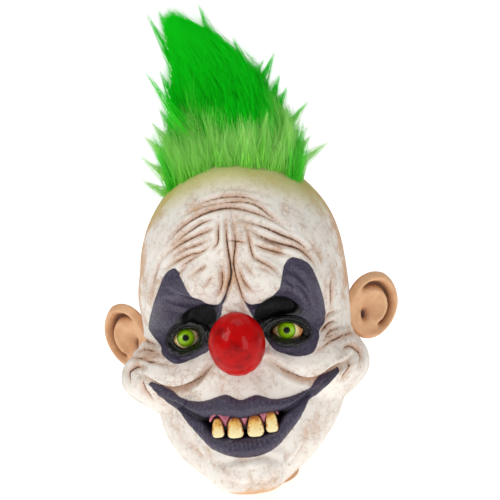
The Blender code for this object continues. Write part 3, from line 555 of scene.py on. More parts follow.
def finished(made, name, material):
    """A finished piece from its bmesh: a smooth mesh with its material, in the scene."""
    mesh = bpy.data.meshes.new(name)
    made.to_mesh(mesh)
    made.free()
    mesh.shade_smooth()
    mesh.materials.append(material)
    piece = bpy.data.objects.new(name, mesh)
    bpy.context.collection.objects.link(piece)
    return piece


def set_marks(made, marks):
    """Keeps values on a bmesh's vertices under the names that the materials read."""
    for name, values in marks.items():
        layer = made.verts.layers.float.new(name)
        for vert, value in zip(made.verts, values):
            vert[layer] = value


SKIN_COLUMNS = 300
SKIN_ROWS = 296
FACE_CROWDING = 0.62
FACE_ROWS = ((0, 0.04, 0.86, 1), (0, 2.0, 13.6, LAST))
HOLLOW_COLUMNS = 72
HOLLOW_ROWS = 60
EVEN_CROWDING = 0.5
EVEN_ROWS = ((0, 1), (0, LAST))
made, turn, level = wrapped_grid(skin, SKIN_COLUMNS, SKIN_ROWS, FACE_CROWDING, FACE_ROWS)
places = face_form(turn, level)
facing = seen(turn, level)
fade = on_face(places, level) * eased((facing + 0.2) / 0.3)
marks = paints(*drawn(places))
for name in ("stain", "wash"):
    marks[name] = marks[name] * fade
for name in ("purple", "black"):
    marks[name] = np.where(fade > 0.05, marks[name], FAR_OUTSIDE)
high = eased((places[:, 2] + 10) / 60)
bare_sides = eased((0.50 - facing) / 0.45) * high
bare_back = eased((places[:, 1] / DEPTH - 0.42) / 0.1)
bare_neck = 0.8 * eased((-138 - places[:, 2]) / 12)
marks["bare"] = np.max([bare_sides, bare_back, bare_neck], axis=0)
out_of_fur = np.hypot(places[:, 0] / HAIRLINE[0], (places[:, 1] - CROWN_BACK * DEPTH) / HAIRLINE[1])
marks["tint"] = np.where(places[:, 2] > 90, eased((1.62 - out_of_fur) / 0.62), 0)
set_marks(made, marks)
bmesh.ops.remove_doubles(made, verts=made.verts, dist=1e-6)

# behind what is set into the face the wall is thicker: across, up, radius, added depth
BACKING_EDGE = 1.6
BACKINGS = ((-47, 8.5, 34, 16.0), (48, 7.5, 34, 16.0), (-27, 32, 20, 9.0), (30, 32, 22, 9.0),
            (0, 0, 45, 3.2), (0, -70, 55, 3.0))


def hollow(turn, level):
    """The inside of the mask, a wall's thickness from everything on the outside."""
    points = face_form(turn, level)
    across, up = drawn(points)
    rise = np.zeros_like(across)
    for dx, dy in ((0, 0), (4, 0), (-4, 0), (0, 4), (0, -4)):
        rise = np.minimum(rise, mouth_rise(across + dx, up + dy) + fold_marks(across + dx, up + dy)[0])
    sunk = WALL * np.ones_like(across)
    for at_x, at_y, radius, added in BACKINGS:
        far = ((across - at_x) ** 2 + (up - at_y) ** 2) / radius**2
        sunk += added * np.clip(BACKING_EDGE * (1 - far), 0, 1)
    rise = (rise - (sunk - WALL)) * on_face(points, level) - WALL
    return points + outward(face_form, turn, level) * rise[..., None]


inner, turn, level = wrapped_grid(hollow, HOLLOW_COLUMNS, HOLLOW_ROWS, EVEN_CROWDING, EVEN_ROWS)
bmesh.ops.remove_doubles(inner, verts=inner.verts, dist=1e-6)
bmesh.ops.reverse_faces(inner, faces=inner.faces)
for name in marks:
    unpainted = {"purple": FAR_OUTSIDE, "black": FAR_OUTSIDE, "bare": 1.0}.get(name, 0.0)
    set_marks(inner, {name: np.full(len(inner.verts), unpainted)})
inner_mesh = bpy.data.meshes.new("inner wall")
inner.to_mesh(inner_mesh)
inner.free()
made.from_mesh(inner_mesh)
bpy.data.meshes.remove(inner_mesh)
bmesh.ops.bridge_loops(made, edges=open_edges(made))


def add_node(kind, sockets=(), **settings):
    """A node in the material being made, its sockets given values or other nodes' outputs."""
    made_node = tree.nodes.new("ShaderNode" + kind)
    for name, value in settings.items():
        setattr(made_node, name, value)
    for name, value in dict(sockets).items():
        socket = made_node.inputs[name]
        if isinstance(value, bpy.types.NodeSocket):
            tree.links.new(value, socket)
        else:
            socket.default_value = value
    return made_node


def mark(name):
    """A value kept on the vertices under a name."""
    return add_node("Attribute", attribute_name=name).outputs["Fac"]


def sums(operation, first, second=0.0, third=0.0):
    """A sum worked out in the material."""
    return add_node("Math", {0: first, 1: second, 2: third}, operation=operation).outputs[0]


def between(value, low, high):
    """0 where value is below low, 1 above high, soft between."""
    made_node = add_node("MapRange", {"Value": value, "From Min": low, "From Max": high},
                         interpolation_type="SMOOTHSTEP")
    return made_node.outputs["Result"]


def blend(share, under, over):
    """The over colour laid on the under colour by share."""
    made_node = tree.nodes.new("ShaderNodeMix")
    made_node.data_type = "RGBA"
    colours = [socket for socket in made_node.inputs if socket.type == "RGBA"]
    factor = made_node.inputs["Factor"]
    for socket, value in ((factor, share), (colours[0], under), (colours[1], over)):
        if isinstance(value, bpy.types.NodeSocket):
            tree.links.new(value, socket)
        elif socket.type == "RGBA":
            socket.default_value = (*value, 1)
        else:
            socket.default_value = value
    return next(socket for socket in made_node.outputs if socket.type == "RGBA")


def coats(ground, *layers):
    """Colours laid one over another on a ground, each by its own share."""
    for share, over in layers:
        ground = blend(share, ground, over)
    return ground


def roughen(surface, height, strength, depth):
    """Fine relief on a surface."""
    relief = add_node("Bump", {"Height": height, "Strength": strength, "Distance": depth})
    tree.links.new(relief.outputs["Normal"], surface.inputs["Normal"])


def swing(value, reach):
    """Noise as a swing either way from nothing."""
    return sums("MULTIPLY", sums("SUBTRACT", value, 0.5), reach)


def blotches(scale, detail=4.0, rough=0.6, stretch=(1, 1, 1)):
    """Noise on the piece's own coordinates, in features per metre."""
    place = add_node("TexCoord").outputs["Object"]
    place = add_node("Mapping", {"Vector": place, "Scale": stretch}).outputs[0]
    made_node = add_node("TexNoise", {"Vector": place, "Scale": scale, "Detail": detail,
                                            "Roughness": rough})
    return made_node.outputs["Fac"]


def new_material(name):
    """A material, its nodes and its surface."""
    material = bpy.data.materials.new(name)
    material.use_nodes = True
    return material, material.node_tree, material.node_tree.nodes["Principled BSDF"]


def colour(red, green, blue):
    """A colour as a paint chart gives it, 0 to 255, made linear."""
    return tuple((part / 255) ** 2.2 for part in (red, green, blue))


painted_latex, tree, surface = new_material("painted latex")
broad = blotches(38, 3)
fine = blotches(420, 5, 0.7)
sponge = blotches(160, 6, 0.75)
warm = sums("ADD", sums("MULTIPLY", mark("wash"), 0.8), sums("MULTIPLY", broad, 0.7))
place = add_node("TexCoord").outputs["Object"]
drift = add_node("TexNoise", {"Vector": place, "Scale": 90.0, "Detail": 2.0}).outputs["Color"]
# the fine net of cracks in the white paint
drifted = add_node("VectorMath", {0: drift, 1: (0.012, 0.012, 0.012), 2: place},
                   operation="MULTIPLY_ADD").outputs["Vector"]
cracks = add_node("TexVoronoi", {"Vector": drifted, "Scale": 150.0},
                  feature="DISTANCE_TO_EDGE").outputs["Distance"]
crack_line = sums("MULTIPLY", between(cracks, 0.10, 0.0), between(broad, 0.44, 0.60))
bare_edge = sums("ADD", mark("bare"), swing(sponge, 1.1))
bare_edge = sums("ADD", bare_edge, swing(broad, 2.4))
line_strength = sums("ADD", mark("stain"), swing(fine, 0.9))
purple_edge = between(sums("ADD", mark("purple"), swing(fine, 1.2)), -0.35, 0.35)
purple_colour = blend(between(fine, 0.45, 0.75), colour(56, 49, 68), colour(84, 76, 98))
black_and_shadow = between(sums("ADD", mark("black"), swing(fine, 2.4)), -1.5, 1.5)
skin_colour = coats(
    colour(234, 228, 219),
    (between(broad, 0.35, 0.65), colour(222, 212, 202)),
    (between(warm, 0.42, 1.45), colour(204, 158, 126)),
    (between(sponge, 0.50, 0.74), colour(196, 172, 150)),
    (sums("MULTIPLY", crack_line, 0.38), colour(150, 116, 92)),
    (between(bare_edge, 0.15, 0.85), colour(206, 164, 124)),
    (between(line_strength, 0.30, 0.75), colour(160, 116, 86)),
    (between(line_strength, 0.45, 0.85), colour(50, 34, 26)),
    (sums("MULTIPLY", mark("tint"), 0.8), colour(202, 188, 108)),
    (purple_edge, purple_colour),
    # black paint, and painted shadow over the recesses above the eyes
    (black_and_shadow, colour(2, 2, 2)),
)
tree.links.new(skin_colour, surface.inputs["Base Color"])
roughness = sums("MULTIPLY_ADD", purple_edge, -0.33, 0.58)
roughness = sums("MULTIPLY_ADD", black_and_shadow, mark("matt"), roughness)
tree.links.new(roughness, surface.inputs["Roughness"])
wrinkle = blotches(190, 5, 0.65, (1, 1, 0.35))
height = sums("ADD", wrinkle, sums("MULTIPLY", fine, 0.5))
height = sums("MULTIPLY_ADD", crack_line, -0.35, height)
streaks = blotches(620, 3, 0.55, (1, 1, 0.30))
glossy = sums("MAXIMUM", purple_edge, black_and_shadow)
height = sums("MULTIPLY_ADD", sums("MULTIPLY", streaks, glossy), 1.9, height)
roughen(surface, height, 0.42, 0.0014)
latex_skin = finished(made, "latex_skin", painted_latex)
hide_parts("mask_skin")
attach(latex_skin, "root")


# The eyelids. Heavy glossy black lids, part of the casting, that close down over each set-in
# eye; they are shaped on rings round the eye's opening and run out into the skin.
BEFORE_FACE = 0.3


def page_depths(surface, columns, rows):
    """Asks how far behind the page through the middle of the nose a surface lies."""
    made_grid = wrapped_grid(surface, columns, rows, EVEN_CROWDING, FACE_ROWS)[0]
    finder = BVHTree.FromBMesh(made_grid)
    made_grid.free()

    def ask(across, up):
        start = NOSE_MIDDLE + Vector(ACROSS * across + UP * up) * MM - Vector(INTO) * BEFORE_FACE
        return (finder.ray_cast(start, Vector(INTO))[3] - BEFORE_FACE) / MM

    return ask


skin_depth = page_depths(lambda turn, level: skin(turn, level, False), 150, 150)


def page_point(across, up, depth):
    """The place that is seen at across and up on the page, at a depth behind it."""
    return NOSE_MIDDLE + Vector(ACROSS * across + UP * up + INTO * depth) * MM


def node_depths(name):
    """How far behind the page a CAD node's front and back lie."""
    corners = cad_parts[name].data.vertices
    depths = [(vert.co - NOSE_MIDDLE).dot(Vector(INTO)) / MM for vert in corners]
    return min(depths), max(depths)


LENS_RADIUS = 16.5
LID_SIDES = 96
LID_RINGS = 40
# share of the way out, size of the ring, how far it follows the skin (else the eye), rise
LID_PROFILE = (
    (0.00, 0.95, 0.00, -0.6), (0.08, 1.01, 0.00, 0.3), (0.16, 1.05, 0.05, 1.5),
    (0.25, 1.10, 0.20, 2.2), (0.36, 1.19, 0.45, 1.7), (0.44, 1.26, 0.60, 0.6),
    (0.54, 1.35, 0.80, 1.6), (0.64, 1.45, 0.90, 1.5), (0.75, 1.57, 1.00, 0.7),
    (0.88, 1.72, 1.00, 0.4), (1.00, 1.86, 1.00, -0.6),
)
for name, opening in EYE_OPENINGS.items():
    front = node_depths(name)[0]
    outline = closed_curve(opening, LID_SIDES)
    outline = np.vstack([outline, outline[:1]])
    middle = outline[:-1].mean(0)
    columns = np.array(LID_PROFILE).T
    made = bmesh.new()
    bmesh.ops.create_grid(made, x_segments=LID_SIDES, y_segments=LID_RINGS, size=1)
    flat = np.array([vert.co for vert in made.verts])
    side = np.rint((flat[:, 0] + 1) / 2 * LID_SIDES).astype(int)
    share = (flat[:, 1] + 1) / 2
    scale, follow, rise = (np.interp(share, columns[0], columns[k]) for k in (1, 2, 3))
    spots = middle + (outline[side] - middle) * scale[:, None]
    out_squared = np.minimum(((spots - middle) ** 2).sum(1), 0.9 * LENS_RADIUS**2)
    lens = front + LENS_RADIUS - np.sqrt(LENS_RADIUS**2 - out_squared)
    for vert, spot, eye, out, lift in zip(made.verts, spots, lens, follow, rise):
        ground = skin_depth(*spot) if out > 0 else 0
        vert.co = page_point(*spot, eye * (1 - out) + ground * out - lift)
    lid_marks = paints(spots[:, 0], spots[:, 1])
    clean = np.zeros(len(spots))
    lid_marks.update({"stain": clean, "wash": clean, "bare": clean, "tint": clean})
    set_marks(made, lid_marks)
    bmesh.ops.remove_doubles(made, verts=made.verts, dist=1e-6)
    bmesh.ops.recalc_face_normals(made, faces=made.faces)
    eyelids = finished(made, name.replace("eye", "eyelids"), painted_latex)
    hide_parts("mask_skin")
    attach(eyelids, "root")


# The ears. Broad round ears of the same casting, left in bare tan latex, with a rolled rim,
# a groove inside it and a deep bowl; the hollows are darkened with painted shade.
EAR_LENGTH = 64.0
EAR_HEIGHT = 70.0
EAR_THICKNESS = 8.5
EAR_BELOW_NOSE = 15.0
EAR_UNEVEN = 7.0
EAR_ROOT = (0.92, 0.46)   # of the half width and of the depth
EAR_MIDDLE = 0.44   # how far out along its length an ear's middle lies
EAR_SWEEP = math.radians(38)
# degrees round the ear from its outer side, and its reach as a share
EAR_OUTLINE = (
    (0, 0.96), (30, 1.00), (60, 1.04), (90, 1.00), (120, 0.96), (150, 0.90),
    (180, 0.86), (210, 0.84), (240, 0.84), (270, 0.86), (300, 0.84), (330, 0.88), (360, 0.96),
)


def hump(value, middle, breadth):
    """1 where value is at the middle, soft on both sides."""
    return np.exp(-(((value - middle) / breadth) ** 2))


tan_latex, tree, surface = new_material("tan latex")
broad = blotches(60, 4)
fine = blotches(500, 5, 0.7)
shade = sums("ADD", mark("stain"), swing(fine, 0.7))
# darker in the groove, the bowl and the ear hole: painted shade
ear_colour = coats(
    colour(228, 180, 136),
    (between(broad, 0.3, 0.75), colour(208, 154, 112)),
    (between(shade, 0.15, 0.75), colour(160, 108, 74)),
    (between(shade, 0.60, 1.05), colour(60, 40, 28)),
)
tree.links.new(ear_colour, surface.inputs["Base Color"])
surface.inputs["Roughness"].default_value = 0.5
roughen(surface, fine, 0.25, 0.0008)

for side, name in ((-1, "ear_right"), (1, "ear_left")):
    made = bmesh.new()
    bmesh.ops.create_uvsphere(made, u_segments=96, v_segments=72, radius=1)
    x, y, z = np.array([vert.co for vert in made.verts]).T
    flat = np.hypot(x, y)
    turn = np.degrees(np.arctan2(y, x)) % 360
    reach = np.interp(turn, *np.array(EAR_OUTLINE).T)
    signed = (turn + 180) % 360 - 180
    round_rim = eased((signed + 105) / 30) * eased((165 - signed) / 30)
    thick = np.sqrt(np.clip(1 - flat**6, 0, 1)) / 2
    rim = hump(flat, 0.88, 0.13) * (0.35 + 0.65 * round_rim)
    groove = hump(flat, 0.68, 0.085) * eased((signed + 75) / 25) * eased((125 - signed) / 30)
    ridge = hump(flat, 0.50, 0.11) * eased((signed + 80) / 30) * eased((110 - signed) / 40)
    bowl = np.exp(-(((x + 0.12) / 0.34) ** 2 + ((y + 0.10) / 0.36) ** 2))
    hole = np.exp(-(((x + 0.22) / 0.13) ** 2 + ((y + 0.20) / 0.16) ** 2))
    tragus = np.exp(-(((x + 0.52) / 0.12) ** 2 + ((y + 0.12) / 0.18) ** 2))
    front = thick + 0.55 * rim - 0.75 * groove + 0.40 * ridge - 0.75 * bowl - 0.5 * hole + 0.35 * tragus
    back = -thick + 0.20 * rim - 0.55 * np.exp(-((flat / 0.55) ** 2)) - 0.35 * hole
    depth = np.where(z > 0, front, back)
    depth = np.where(np.abs(z) < 1e-5, 0.12 + 0.3 * rim, depth)
    outwards = Vector((math.cos(EAR_SWEEP), math.sin(EAR_SWEEP), 0))
    up = Vector((0, -0.10, 1)).normalized()
    facing_way = outwards.cross(up).normalized()
    axes = Matrix((outwards, facing_way.cross(outwards), facing_way)).transposed().to_4x4()
    low = side * EAR_UNEVEN - EAR_BELOW_NOSE
    root = Vector((HALF_WIDTH * EAR_ROOT[0], DEPTH * EAR_ROOT[1], low)) * MM
    place = Matrix.Translation(root + outwards * EAR_LENGTH * MM * EAR_MIDDLE) @ axes
    for vert, at_x, at_y, at_z in zip(made.verts, x * reach * EAR_LENGTH / 2,
                                      y * reach * EAR_HEIGHT / 2, depth * EAR_THICKNESS):
        vert.co = place @ (Vector((at_x, at_y, at_z)) * MM)
    # painted shade in the groove, the ear hole and the bowl, on the front only
    dark = np.clip(0.95 * groove + 0.9 * hole + 0.35 * bowl, 0, 1) * (z > 0)
    set_marks(made, {"stain": dark})
    if side < 0:
        bmesh.ops.scale(made, vec=(-1, 1, 1), verts=made.verts)
        bmesh.ops.reverse_faces(made, faces=made.faces)
    bmesh.ops.translate(made, vec=NOSE_MIDDLE, verts=made.verts)
    ear = finished(made, name, tan_latex)
    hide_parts("mask_skin")
    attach(ear, "root")


# The ball nose. A hollow ball glued into a shallow seat in the face, lacquered red over a
# slightly uneven casting.
NOSE_HALF = Vector((0.0265, 0.0270, 0.0300))
LUMPS = 0.00035
nose_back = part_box("ball_nose")[1].y
made = bmesh.new()
bmesh.ops.create_uvsphere(made, u_segments=96, v_segments=64, radius=1)
for vert in made.verts:
    way = vert.co.normalized()
    lump = noise.noise(way * 5.0) + 0.5 * noise.noise(way * 13.0)
    vert.co = NOSE_MIDDLE + Vector(a * b for a, b in zip(way, NOSE_HALF)) + way * LUMPS * (lump - 0.8)
geom = made.verts[:] + made.edges[:] + made.faces[:]
bmesh.ops.bisect_plane(made, geom=geom, clear_outer=True,
                       plane_co=(0, nose_back, 0), plane_no=(0, 1, 0))
bmesh.ops.edgeloop_fill(made, edges=open_edges(made))
bmesh.ops.recalc_face_normals(made, faces=made.faces)
red_lacquer, tree, surface = new_material("red lacquer")
broad = blotches(70, 4)
fine = blotches(450, 4, 0.6)
nose_colour = coats(
    colour(182, 0, 8),
    (between(broad, 0.42, 0.72), colour(138, 0, 5)),
    (between(fine, 0.60, 0.80), colour(120, 0, 12)),
)
tree.links.new(nose_colour, surface.inputs["Base Color"])
surface.inputs["Roughness"].default_value = 0.36
surface.inputs["Specular IOR Level"].default_value = 0.05
surface.inputs["Coat Weight"].default_value = 0.20
surface.inputs["Coat Roughness"].default_value = 0.04
roughen(surface, fine, 0.25, 0.0008)
red_nose = finished(made, "red_nose", red_lacquer)
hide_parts("ball_nose")
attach(red_nose, "root")


# The eyes. A flat printed disc whose rim bends back behind the lids: lime iris with a dark
# ring and fine spokes, black pupil, and a yellowed white with orange veins at its corners.
EYE_HALF_LENGTH = 13.9
EYE_HALF_HEIGHT = 9.8
EYE_THICKNESS = 4.0
EYE_BEHIND_LID = 0.4
RIM_RISE = 0.5
IRIS = {"eye_right": (-47.0, 9.6), "eye_left": (47.0, 7.6)}
IRIS_RADIUS = 8.5
PUPIL_RADIUS = 2.9
EYE_PLACES = {"eye_right": (-47.0, 8.5), "eye_left": (48.0, 7.5)}

printed_eye, tree, surface = new_material("printed eye")
right, over = mark("gaze_right"), mark("gaze_up")
square = sums("MULTIPLY_ADD", right, right, sums("MULTIPLY", over, over))
far = sums("SQRT", square)
round_it = sums("MULTIPLY", sums("ARCTAN2", over, right), 4.0)
out_from_it = sums("MULTIPLY", far, 0.12)
spokes_place = add_node("CombineXYZ", {"X": round_it, "Y": out_from_it}).outputs[0]
spokes = add_node("TexNoise", {"Vector": spokes_place, "Scale": 3.0, "Detail": 3.0}).outputs["Fac"]
ragged_ring = sums("ADD", far, sums("MULTIPLY", spokes, 1.4))
white = coats(
    colour(255, 240, 176),
    (between(blotches(330, 5, 0.7), 0.48, 0.62), colour(232, 160, 90)),
    (between(sums("ABSOLUTE", right), 9.0, 13.0), colour(214, 140, 84)),
)
iris = coats(
    colour(176, 226, 26),
    (between(spokes, 0.38, 0.66), colour(120, 184, 8)),
    (between(far, 5.8, 7.8), colour(110, 164, 10)),
    (between(far, 7.5, 8.3), colour(30, 44, 14)),
)
eye_colour = coats(
    white,
    (between(far, IRIS_RADIUS, IRIS_RADIUS - 0.5), iris),
    (between(ragged_ring, PUPIL_RADIUS + 1.7, PUPIL_RADIUS + 0.3), colour(28, 66, 16)),
    (between(far, PUPIL_RADIUS, PUPIL_RADIUS - 0.4), colour(8, 10, 8)),
)
tree.links.new(eye_colour, surface.inputs["Base Color"])
surface.inputs["Roughness"].default_value = 0.30
surface.inputs["Specular IOR Level"].default_value = 0.2
surface.inputs["Coat Weight"].default_value = 0.4
surface.inputs["Coat Roughness"].default_value = 0.04

for name, (at_x, at_y) in EYE_PLACES.items():
    front = node_depths(name)[0]
    made = bmesh.new()
    bmesh.ops.create_circle(made, cap_ends=True, radius=1, segments=64)
    bmesh.ops.scale(made, vec=(EYE_HALF_LENGTH, EYE_HALF_HEIGHT, 1), verts=made.verts)
    new = bmesh.ops.extrude_edge_only(made, edges=open_edges(made))["geom"]
    behind = {item for item in new if isinstance(item, bmesh.types.BMVert)}
    look = {"gaze_right": [], "gaze_up": []}
    for vert in made.verts:
        x, y = vert.co.x, vert.co.y
        gaze_right, gaze_up = x + at_x - IRIS[name][0], y + at_y - IRIS[name][1]
        look["gaze_right"].append(gaze_right)
        look["gaze_up"].append(gaze_up)
        bow = LENS_RADIUS - math.sqrt(LENS_RADIUS**2 - min(x * x + y * y, 0.95 * LENS_RADIUS**2))
        forward = RIM_RISE * math.exp(-(gaze_right**2 + gaze_up**2) / 40)
        back = EYE_THICKNESS if vert in behind else -forward
        vert.co = page_point(x + at_x, y + at_y, front + EYE_BEHIND_LID + bow + back)
    bmesh.ops.edgeloop_fill(made, edges=open_edges(made))
    set_marks(made, look)
    bmesh.ops.recalc_face_normals(made, faces=made.faces)
    eye = finished(made, "glass_" + name, printed_eye)
    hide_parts(name)
    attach(eye, "root")


# The teeth. Four worn pegs of cast resin, rounded across, yellowed and brown at their roots,
# glued into the gum.
# across, half breadth, height of the root and of the tip, from the middle of the nose
TEETH = {
    "tooth_1": (-25.5, 6.1, -67.0, -85.0), "tooth_2": (-9.5, 8.0, -67.5, -87.0),
    "tooth_3": (9.0, 8.2, -67.0, -87.5), "tooth_4": (24.5, 6.2, -65.0, -85.0),
}
stained_tooth, tree, surface = new_material("stained tooth")
root_share = mark("rootward")
side_stain_and_shade = mark("sideward")
cloud = blotches(190, 5, 0.65)
fine = blotches(700, 4, 0.6, (1, 1, 0.3))
yellow = sums("ADD", root_share, swing(cloud, 0.9))
brown = sums("ADD", sums("MAXIMUM", root_share, side_stain_and_shade), swing(cloud, 1.2))
# brown at the roots is stain; the brown and near black down the sides is partly stain, partly painted
# shadow of the gaps between the teeth
tooth_colour = coats(
    colour(244, 226, 168),
    (between(yellow, 0.25, 0.75), colour(228, 180, 88)),
    (between(brown, 0.58, 0.98), colour(176, 100, 26)),
    (between(brown, 0.92, 1.15), colour(70, 34, 12)),
)
tree.links.new(tooth_colour, surface.inputs["Base Color"])
surface.inputs["Roughness"].default_value = 0.25
surface.inputs["Coat Weight"].default_value = 0.5
roughen(surface, fine, 0.25, 0.0006)


for name, (across, half, root_up, tip_up) in TEETH.items():
    front, back = node_depths(name)
    made = bmesh.new()
    bmesh.ops.create_uvsphere(made, u_segments=40, v_segments=30, radius=1)
    high = (root_up - tip_up) / 2
    middle = (root_up + tip_up) / 2
    rootward, sideward = [], []
    for vert in made.verts:
        x, y, z = vert.co
        x, y, z = (math.copysign(abs(part) ** 0.55, part) for part in (x, y, z))
        lump = noise.noise(Vector((x * 1.3, z * 1.3, across))) * 0.05
        rootward.append((z + 1) / 2)
        sideward.append(abs(x) * 0.9)
        wide = 0.88 - 0.17 * z - 0.10 * max(0, z)
        place_x = across + half * x * (wide + lump)
        place_y = middle + high * z * (1 - 0.05 * x * x) + lump * 2
        depth = (front + back) / 2 + (back - front) / 2 * y * (1 - 0.15 * x * x)
        vert.co = page_point(place_x, place_y, depth)
    set_marks(made, {"rootward": rootward, "sideward": sideward})
    bmesh.ops.recalc_face_normals(made, faces=made.faces)
    tooth = finished(made, "peg_" + name, stained_tooth)
    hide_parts(name)
    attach(tooth, "root")


# The gum. A wet pink strip along the roots of the teeth, drawn down to a point between them,
# set into the back of the mouth.
GUM_ENDS = (-33.0, 32.0)
GUM_TOP = -60.0
GUM_ARCH = -66.0
GUM_POINT = -77.0
GUM_GAPS = (-33.0, -18.0, -0.5, 17.5, 32.5)
GUM_FORWARD = 1.2
pink_gum, tree, surface = new_material("pink gum")
cloud = blotches(220, 4)
gum_colour = blend(between(cloud, 0.35, 0.7), colour(196, 112, 128), colour(150, 70, 90))
tree.links.new(gum_colour, surface.inputs["Base Color"])
surface.inputs["Roughness"].default_value = 0.2
surface.inputs["Coat Weight"].default_value = 0.6
roughen(surface, cloud, 0.2, 0.0008)
front, back = node_depths("upper_gum")
made = bmesh.new()
bmesh.ops.create_uvsphere(made, u_segments=160, v_segments=24, radius=1)
for vert in made.verts:
    turn = math.atan2(vert.co.y, vert.co.x)
    x = math.copysign(abs(vert.co.x) ** 0.8, vert.co.x)
    across = (GUM_ENDS[0] + GUM_ENDS[1]) / 2 + (GUM_ENDS[1] - GUM_ENDS[0]) / 2 * x
    near = min(abs(across - gap) for gap in GUM_GAPS)
    low = GUM_ARCH + (GUM_POINT - GUM_ARCH) * math.exp(-((near / 3.6) ** 2))
    share = (vert.co.z + 1) / 2
    up_page = low + (GUM_TOP - low) * share
    depth = (front + back) / 2 + (back - front) / 2 * vert.co.y - GUM_FORWARD
    vert.co = page_point(across, up_page, depth)
bmesh.ops.recalc_face_normals(made, faces=made.faces)
gum = finished(made, "pink_gum", pink_gum)
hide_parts("upper_gum")
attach(gum, "root")


# The fur. Long-pile craft fur on a backing that is glued over the crown: emerald hair brushed
# up and over to one side into a peak, with a lime fringe of shorter hair all round its foot.
CROWN = NOSE_MIDDLE + Vector((0, CROWN_BACK * DEPTH * MM, 0.156))
# height above the crown, left edge, right edge, half depth
TUFT = (
    (-46, -66, 58, 38), (-20, -63, 60, 41), (0, -61, 61, 41), (22, -58, 59, 40),
    (40, -55, 48, 37), (57, -51, 40, 33), (74, -49, 28, 28), (86, -48, 20, 24),
    (98, -48, 6, 19), (110, -48, -7, 14), (118, -48, -22, 10), (126, -47, -41, 4),
)
TUFT_TOP = 128
green_fur, tree, surface = new_material("green fur")
tipward, lime, darkening = (mark(name) for name in ("tipward", "lime", "darkening"))
# each hair is darker at its root and paler at its tip: over the fur's own greens, painted shade deep in
# the fur and a painted highlight on the tips
emerald = blend(tipward, colour(0, 202, 6), colour(0, 244, 30))
lime_hair = blend(tipward, colour(146, 252, 74), colour(206, 255, 150))
darker = sums("MULTIPLY", darkening, 0.3)
fur_colour = coats(emerald, (lime, lime_hair), (darker, colour(0, 168, 14)))
tree.links.new(fur_colour, surface.inputs["Base Color"])
surface.inputs["Roughness"].default_value = 0.70
surface.inputs["Specular IOR Level"].default_value = 0.15


def tuft_place(angle, height, swell):
    """A place on the tuft's outline at angles round it, swollen or shrunk about its middle."""
    rows = np.array(TUFT, float).T
    left, right, deep = (np.interp(height, rows[0], rows[k]) for k in (1, 2, 3))
    x = (left + right) / 2 + (right - left) / 2 * swell * np.cos(angle)
    return np.stack([x, deep * swell * np.sin(angle), height], -1)


def fur_piece(name, paths, thick, values):
    """Hairs as one mesh: a three-sided sweep along each path, tapering to its tip."""
    count, steps = paths.shape[:2]
    section = bpy.data.curves.new(name + " section", "CURVE")
    section.dimensions = "2D"
    side = section.splines.new("POLY")
    side.points.add(2)
    for k in range(3):
        turn = 2 * math.pi * k / 3
        side.points[k].co = (math.cos(turn), math.sin(turn), 0, 1)
    side.use_cyclic_u = True
    section_object = bpy.data.objects.new(name + " section", section)
    hairs = bpy.data.curves.new(name, "CURVE")
    hairs.dimensions = "3D"
    hairs.bevel_mode = "OBJECT"
    hairs.bevel_object = section_object
    taper = np.linspace(1, 0.12, steps)
    taper[0] = 0.7
    for path, width in zip(paths, thick):
        hair = hairs.splines.new("POLY")
        hair.points.add(steps - 1)
        place = np.ones((steps, 4))
        place[:, :3] = path * MM + np.array(CROWN)
        hair.points.foreach_set("co", place.ravel())
        hair.points.foreach_set("radius", (taper * width * MM).astype(np.float32))
    carrier = bpy.data.objects.new(name, hairs)
    bpy.context.collection.objects.link(carrier)
    bpy.context.view_layer.update()
    swept = carrier.evaluated_get(bpy.context.evaluated_depsgraph_get())
    mesh = bpy.data.meshes.new_from_object(swept)
    bpy.data.objects.remove(carrier)
    bpy.data.objects.remove(section_object)
    values = dict(values, tipward=np.tile(np.linspace(0, 1, steps), (count, 1)))
    for key, value in values.items():
        value = np.repeat(np.broadcast_to(value.reshape(count, -1), (count, steps)).ravel(), 3)
        mesh.attributes.new(key, "FLOAT", "POINT").data.foreach_set("value", value.astype(np.float32))
    mesh.name = name
    mesh.materials.clear()
    mesh.materials.append(green_fur)
    mesh.shade_smooth()
    piece = bpy.data.objects.new(name, mesh)
    bpy.context.collection.objects.link(piece)
    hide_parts("fur_tuft")
    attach(piece, "root")


chance = np.random.default_rng(7)
STEPS = 6
along = np.linspace(0, 1, STEPS)

# the pile under the hairs
PILE_FOOT = -44
PILE_HEIGHT = 166
PILE_SWELL = 0.80
made = bmesh.new()
bmesh.ops.create_grid(made, x_segments=72, y_segments=60, size=1)
flat = np.array([vert.co for vert in made.verts])
angle, rise_share = np.pi * flat[:, 0], (flat[:, 1] + 1) / 2
height = PILE_FOOT + PILE_HEIGHT * rise_share
swell = PILE_SWELL * np.sqrt(np.clip(1 - rise_share**8, 0, 1))
pile = tuft_place(angle, height, swell)
for vert, place in zip(made.verts, pile):
    vert.co = CROWN + Vector(place) * MM
count = len(made.verts)
# the pile takes the colour of hair roots, darkened more than most hairs: painted shade under the hairs
set_marks(made, {"tipward": np.full(count, 0.1), "darkening": np.full(count, 0.6),
                 "lime": 0.8 * eased((22 - height) / 20)})
bmesh.ops.remove_doubles(made, verts=made.verts, dist=1e-6)
bmesh.ops.edgeloop_fill(made, edges=open_edges(made))
bmesh.ops.recalc_face_normals(made, faces=made.faces)
fur_pile = finished(made, "fur_pile", green_fur)
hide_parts("fur_tuft")
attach(fur_pile, "root")

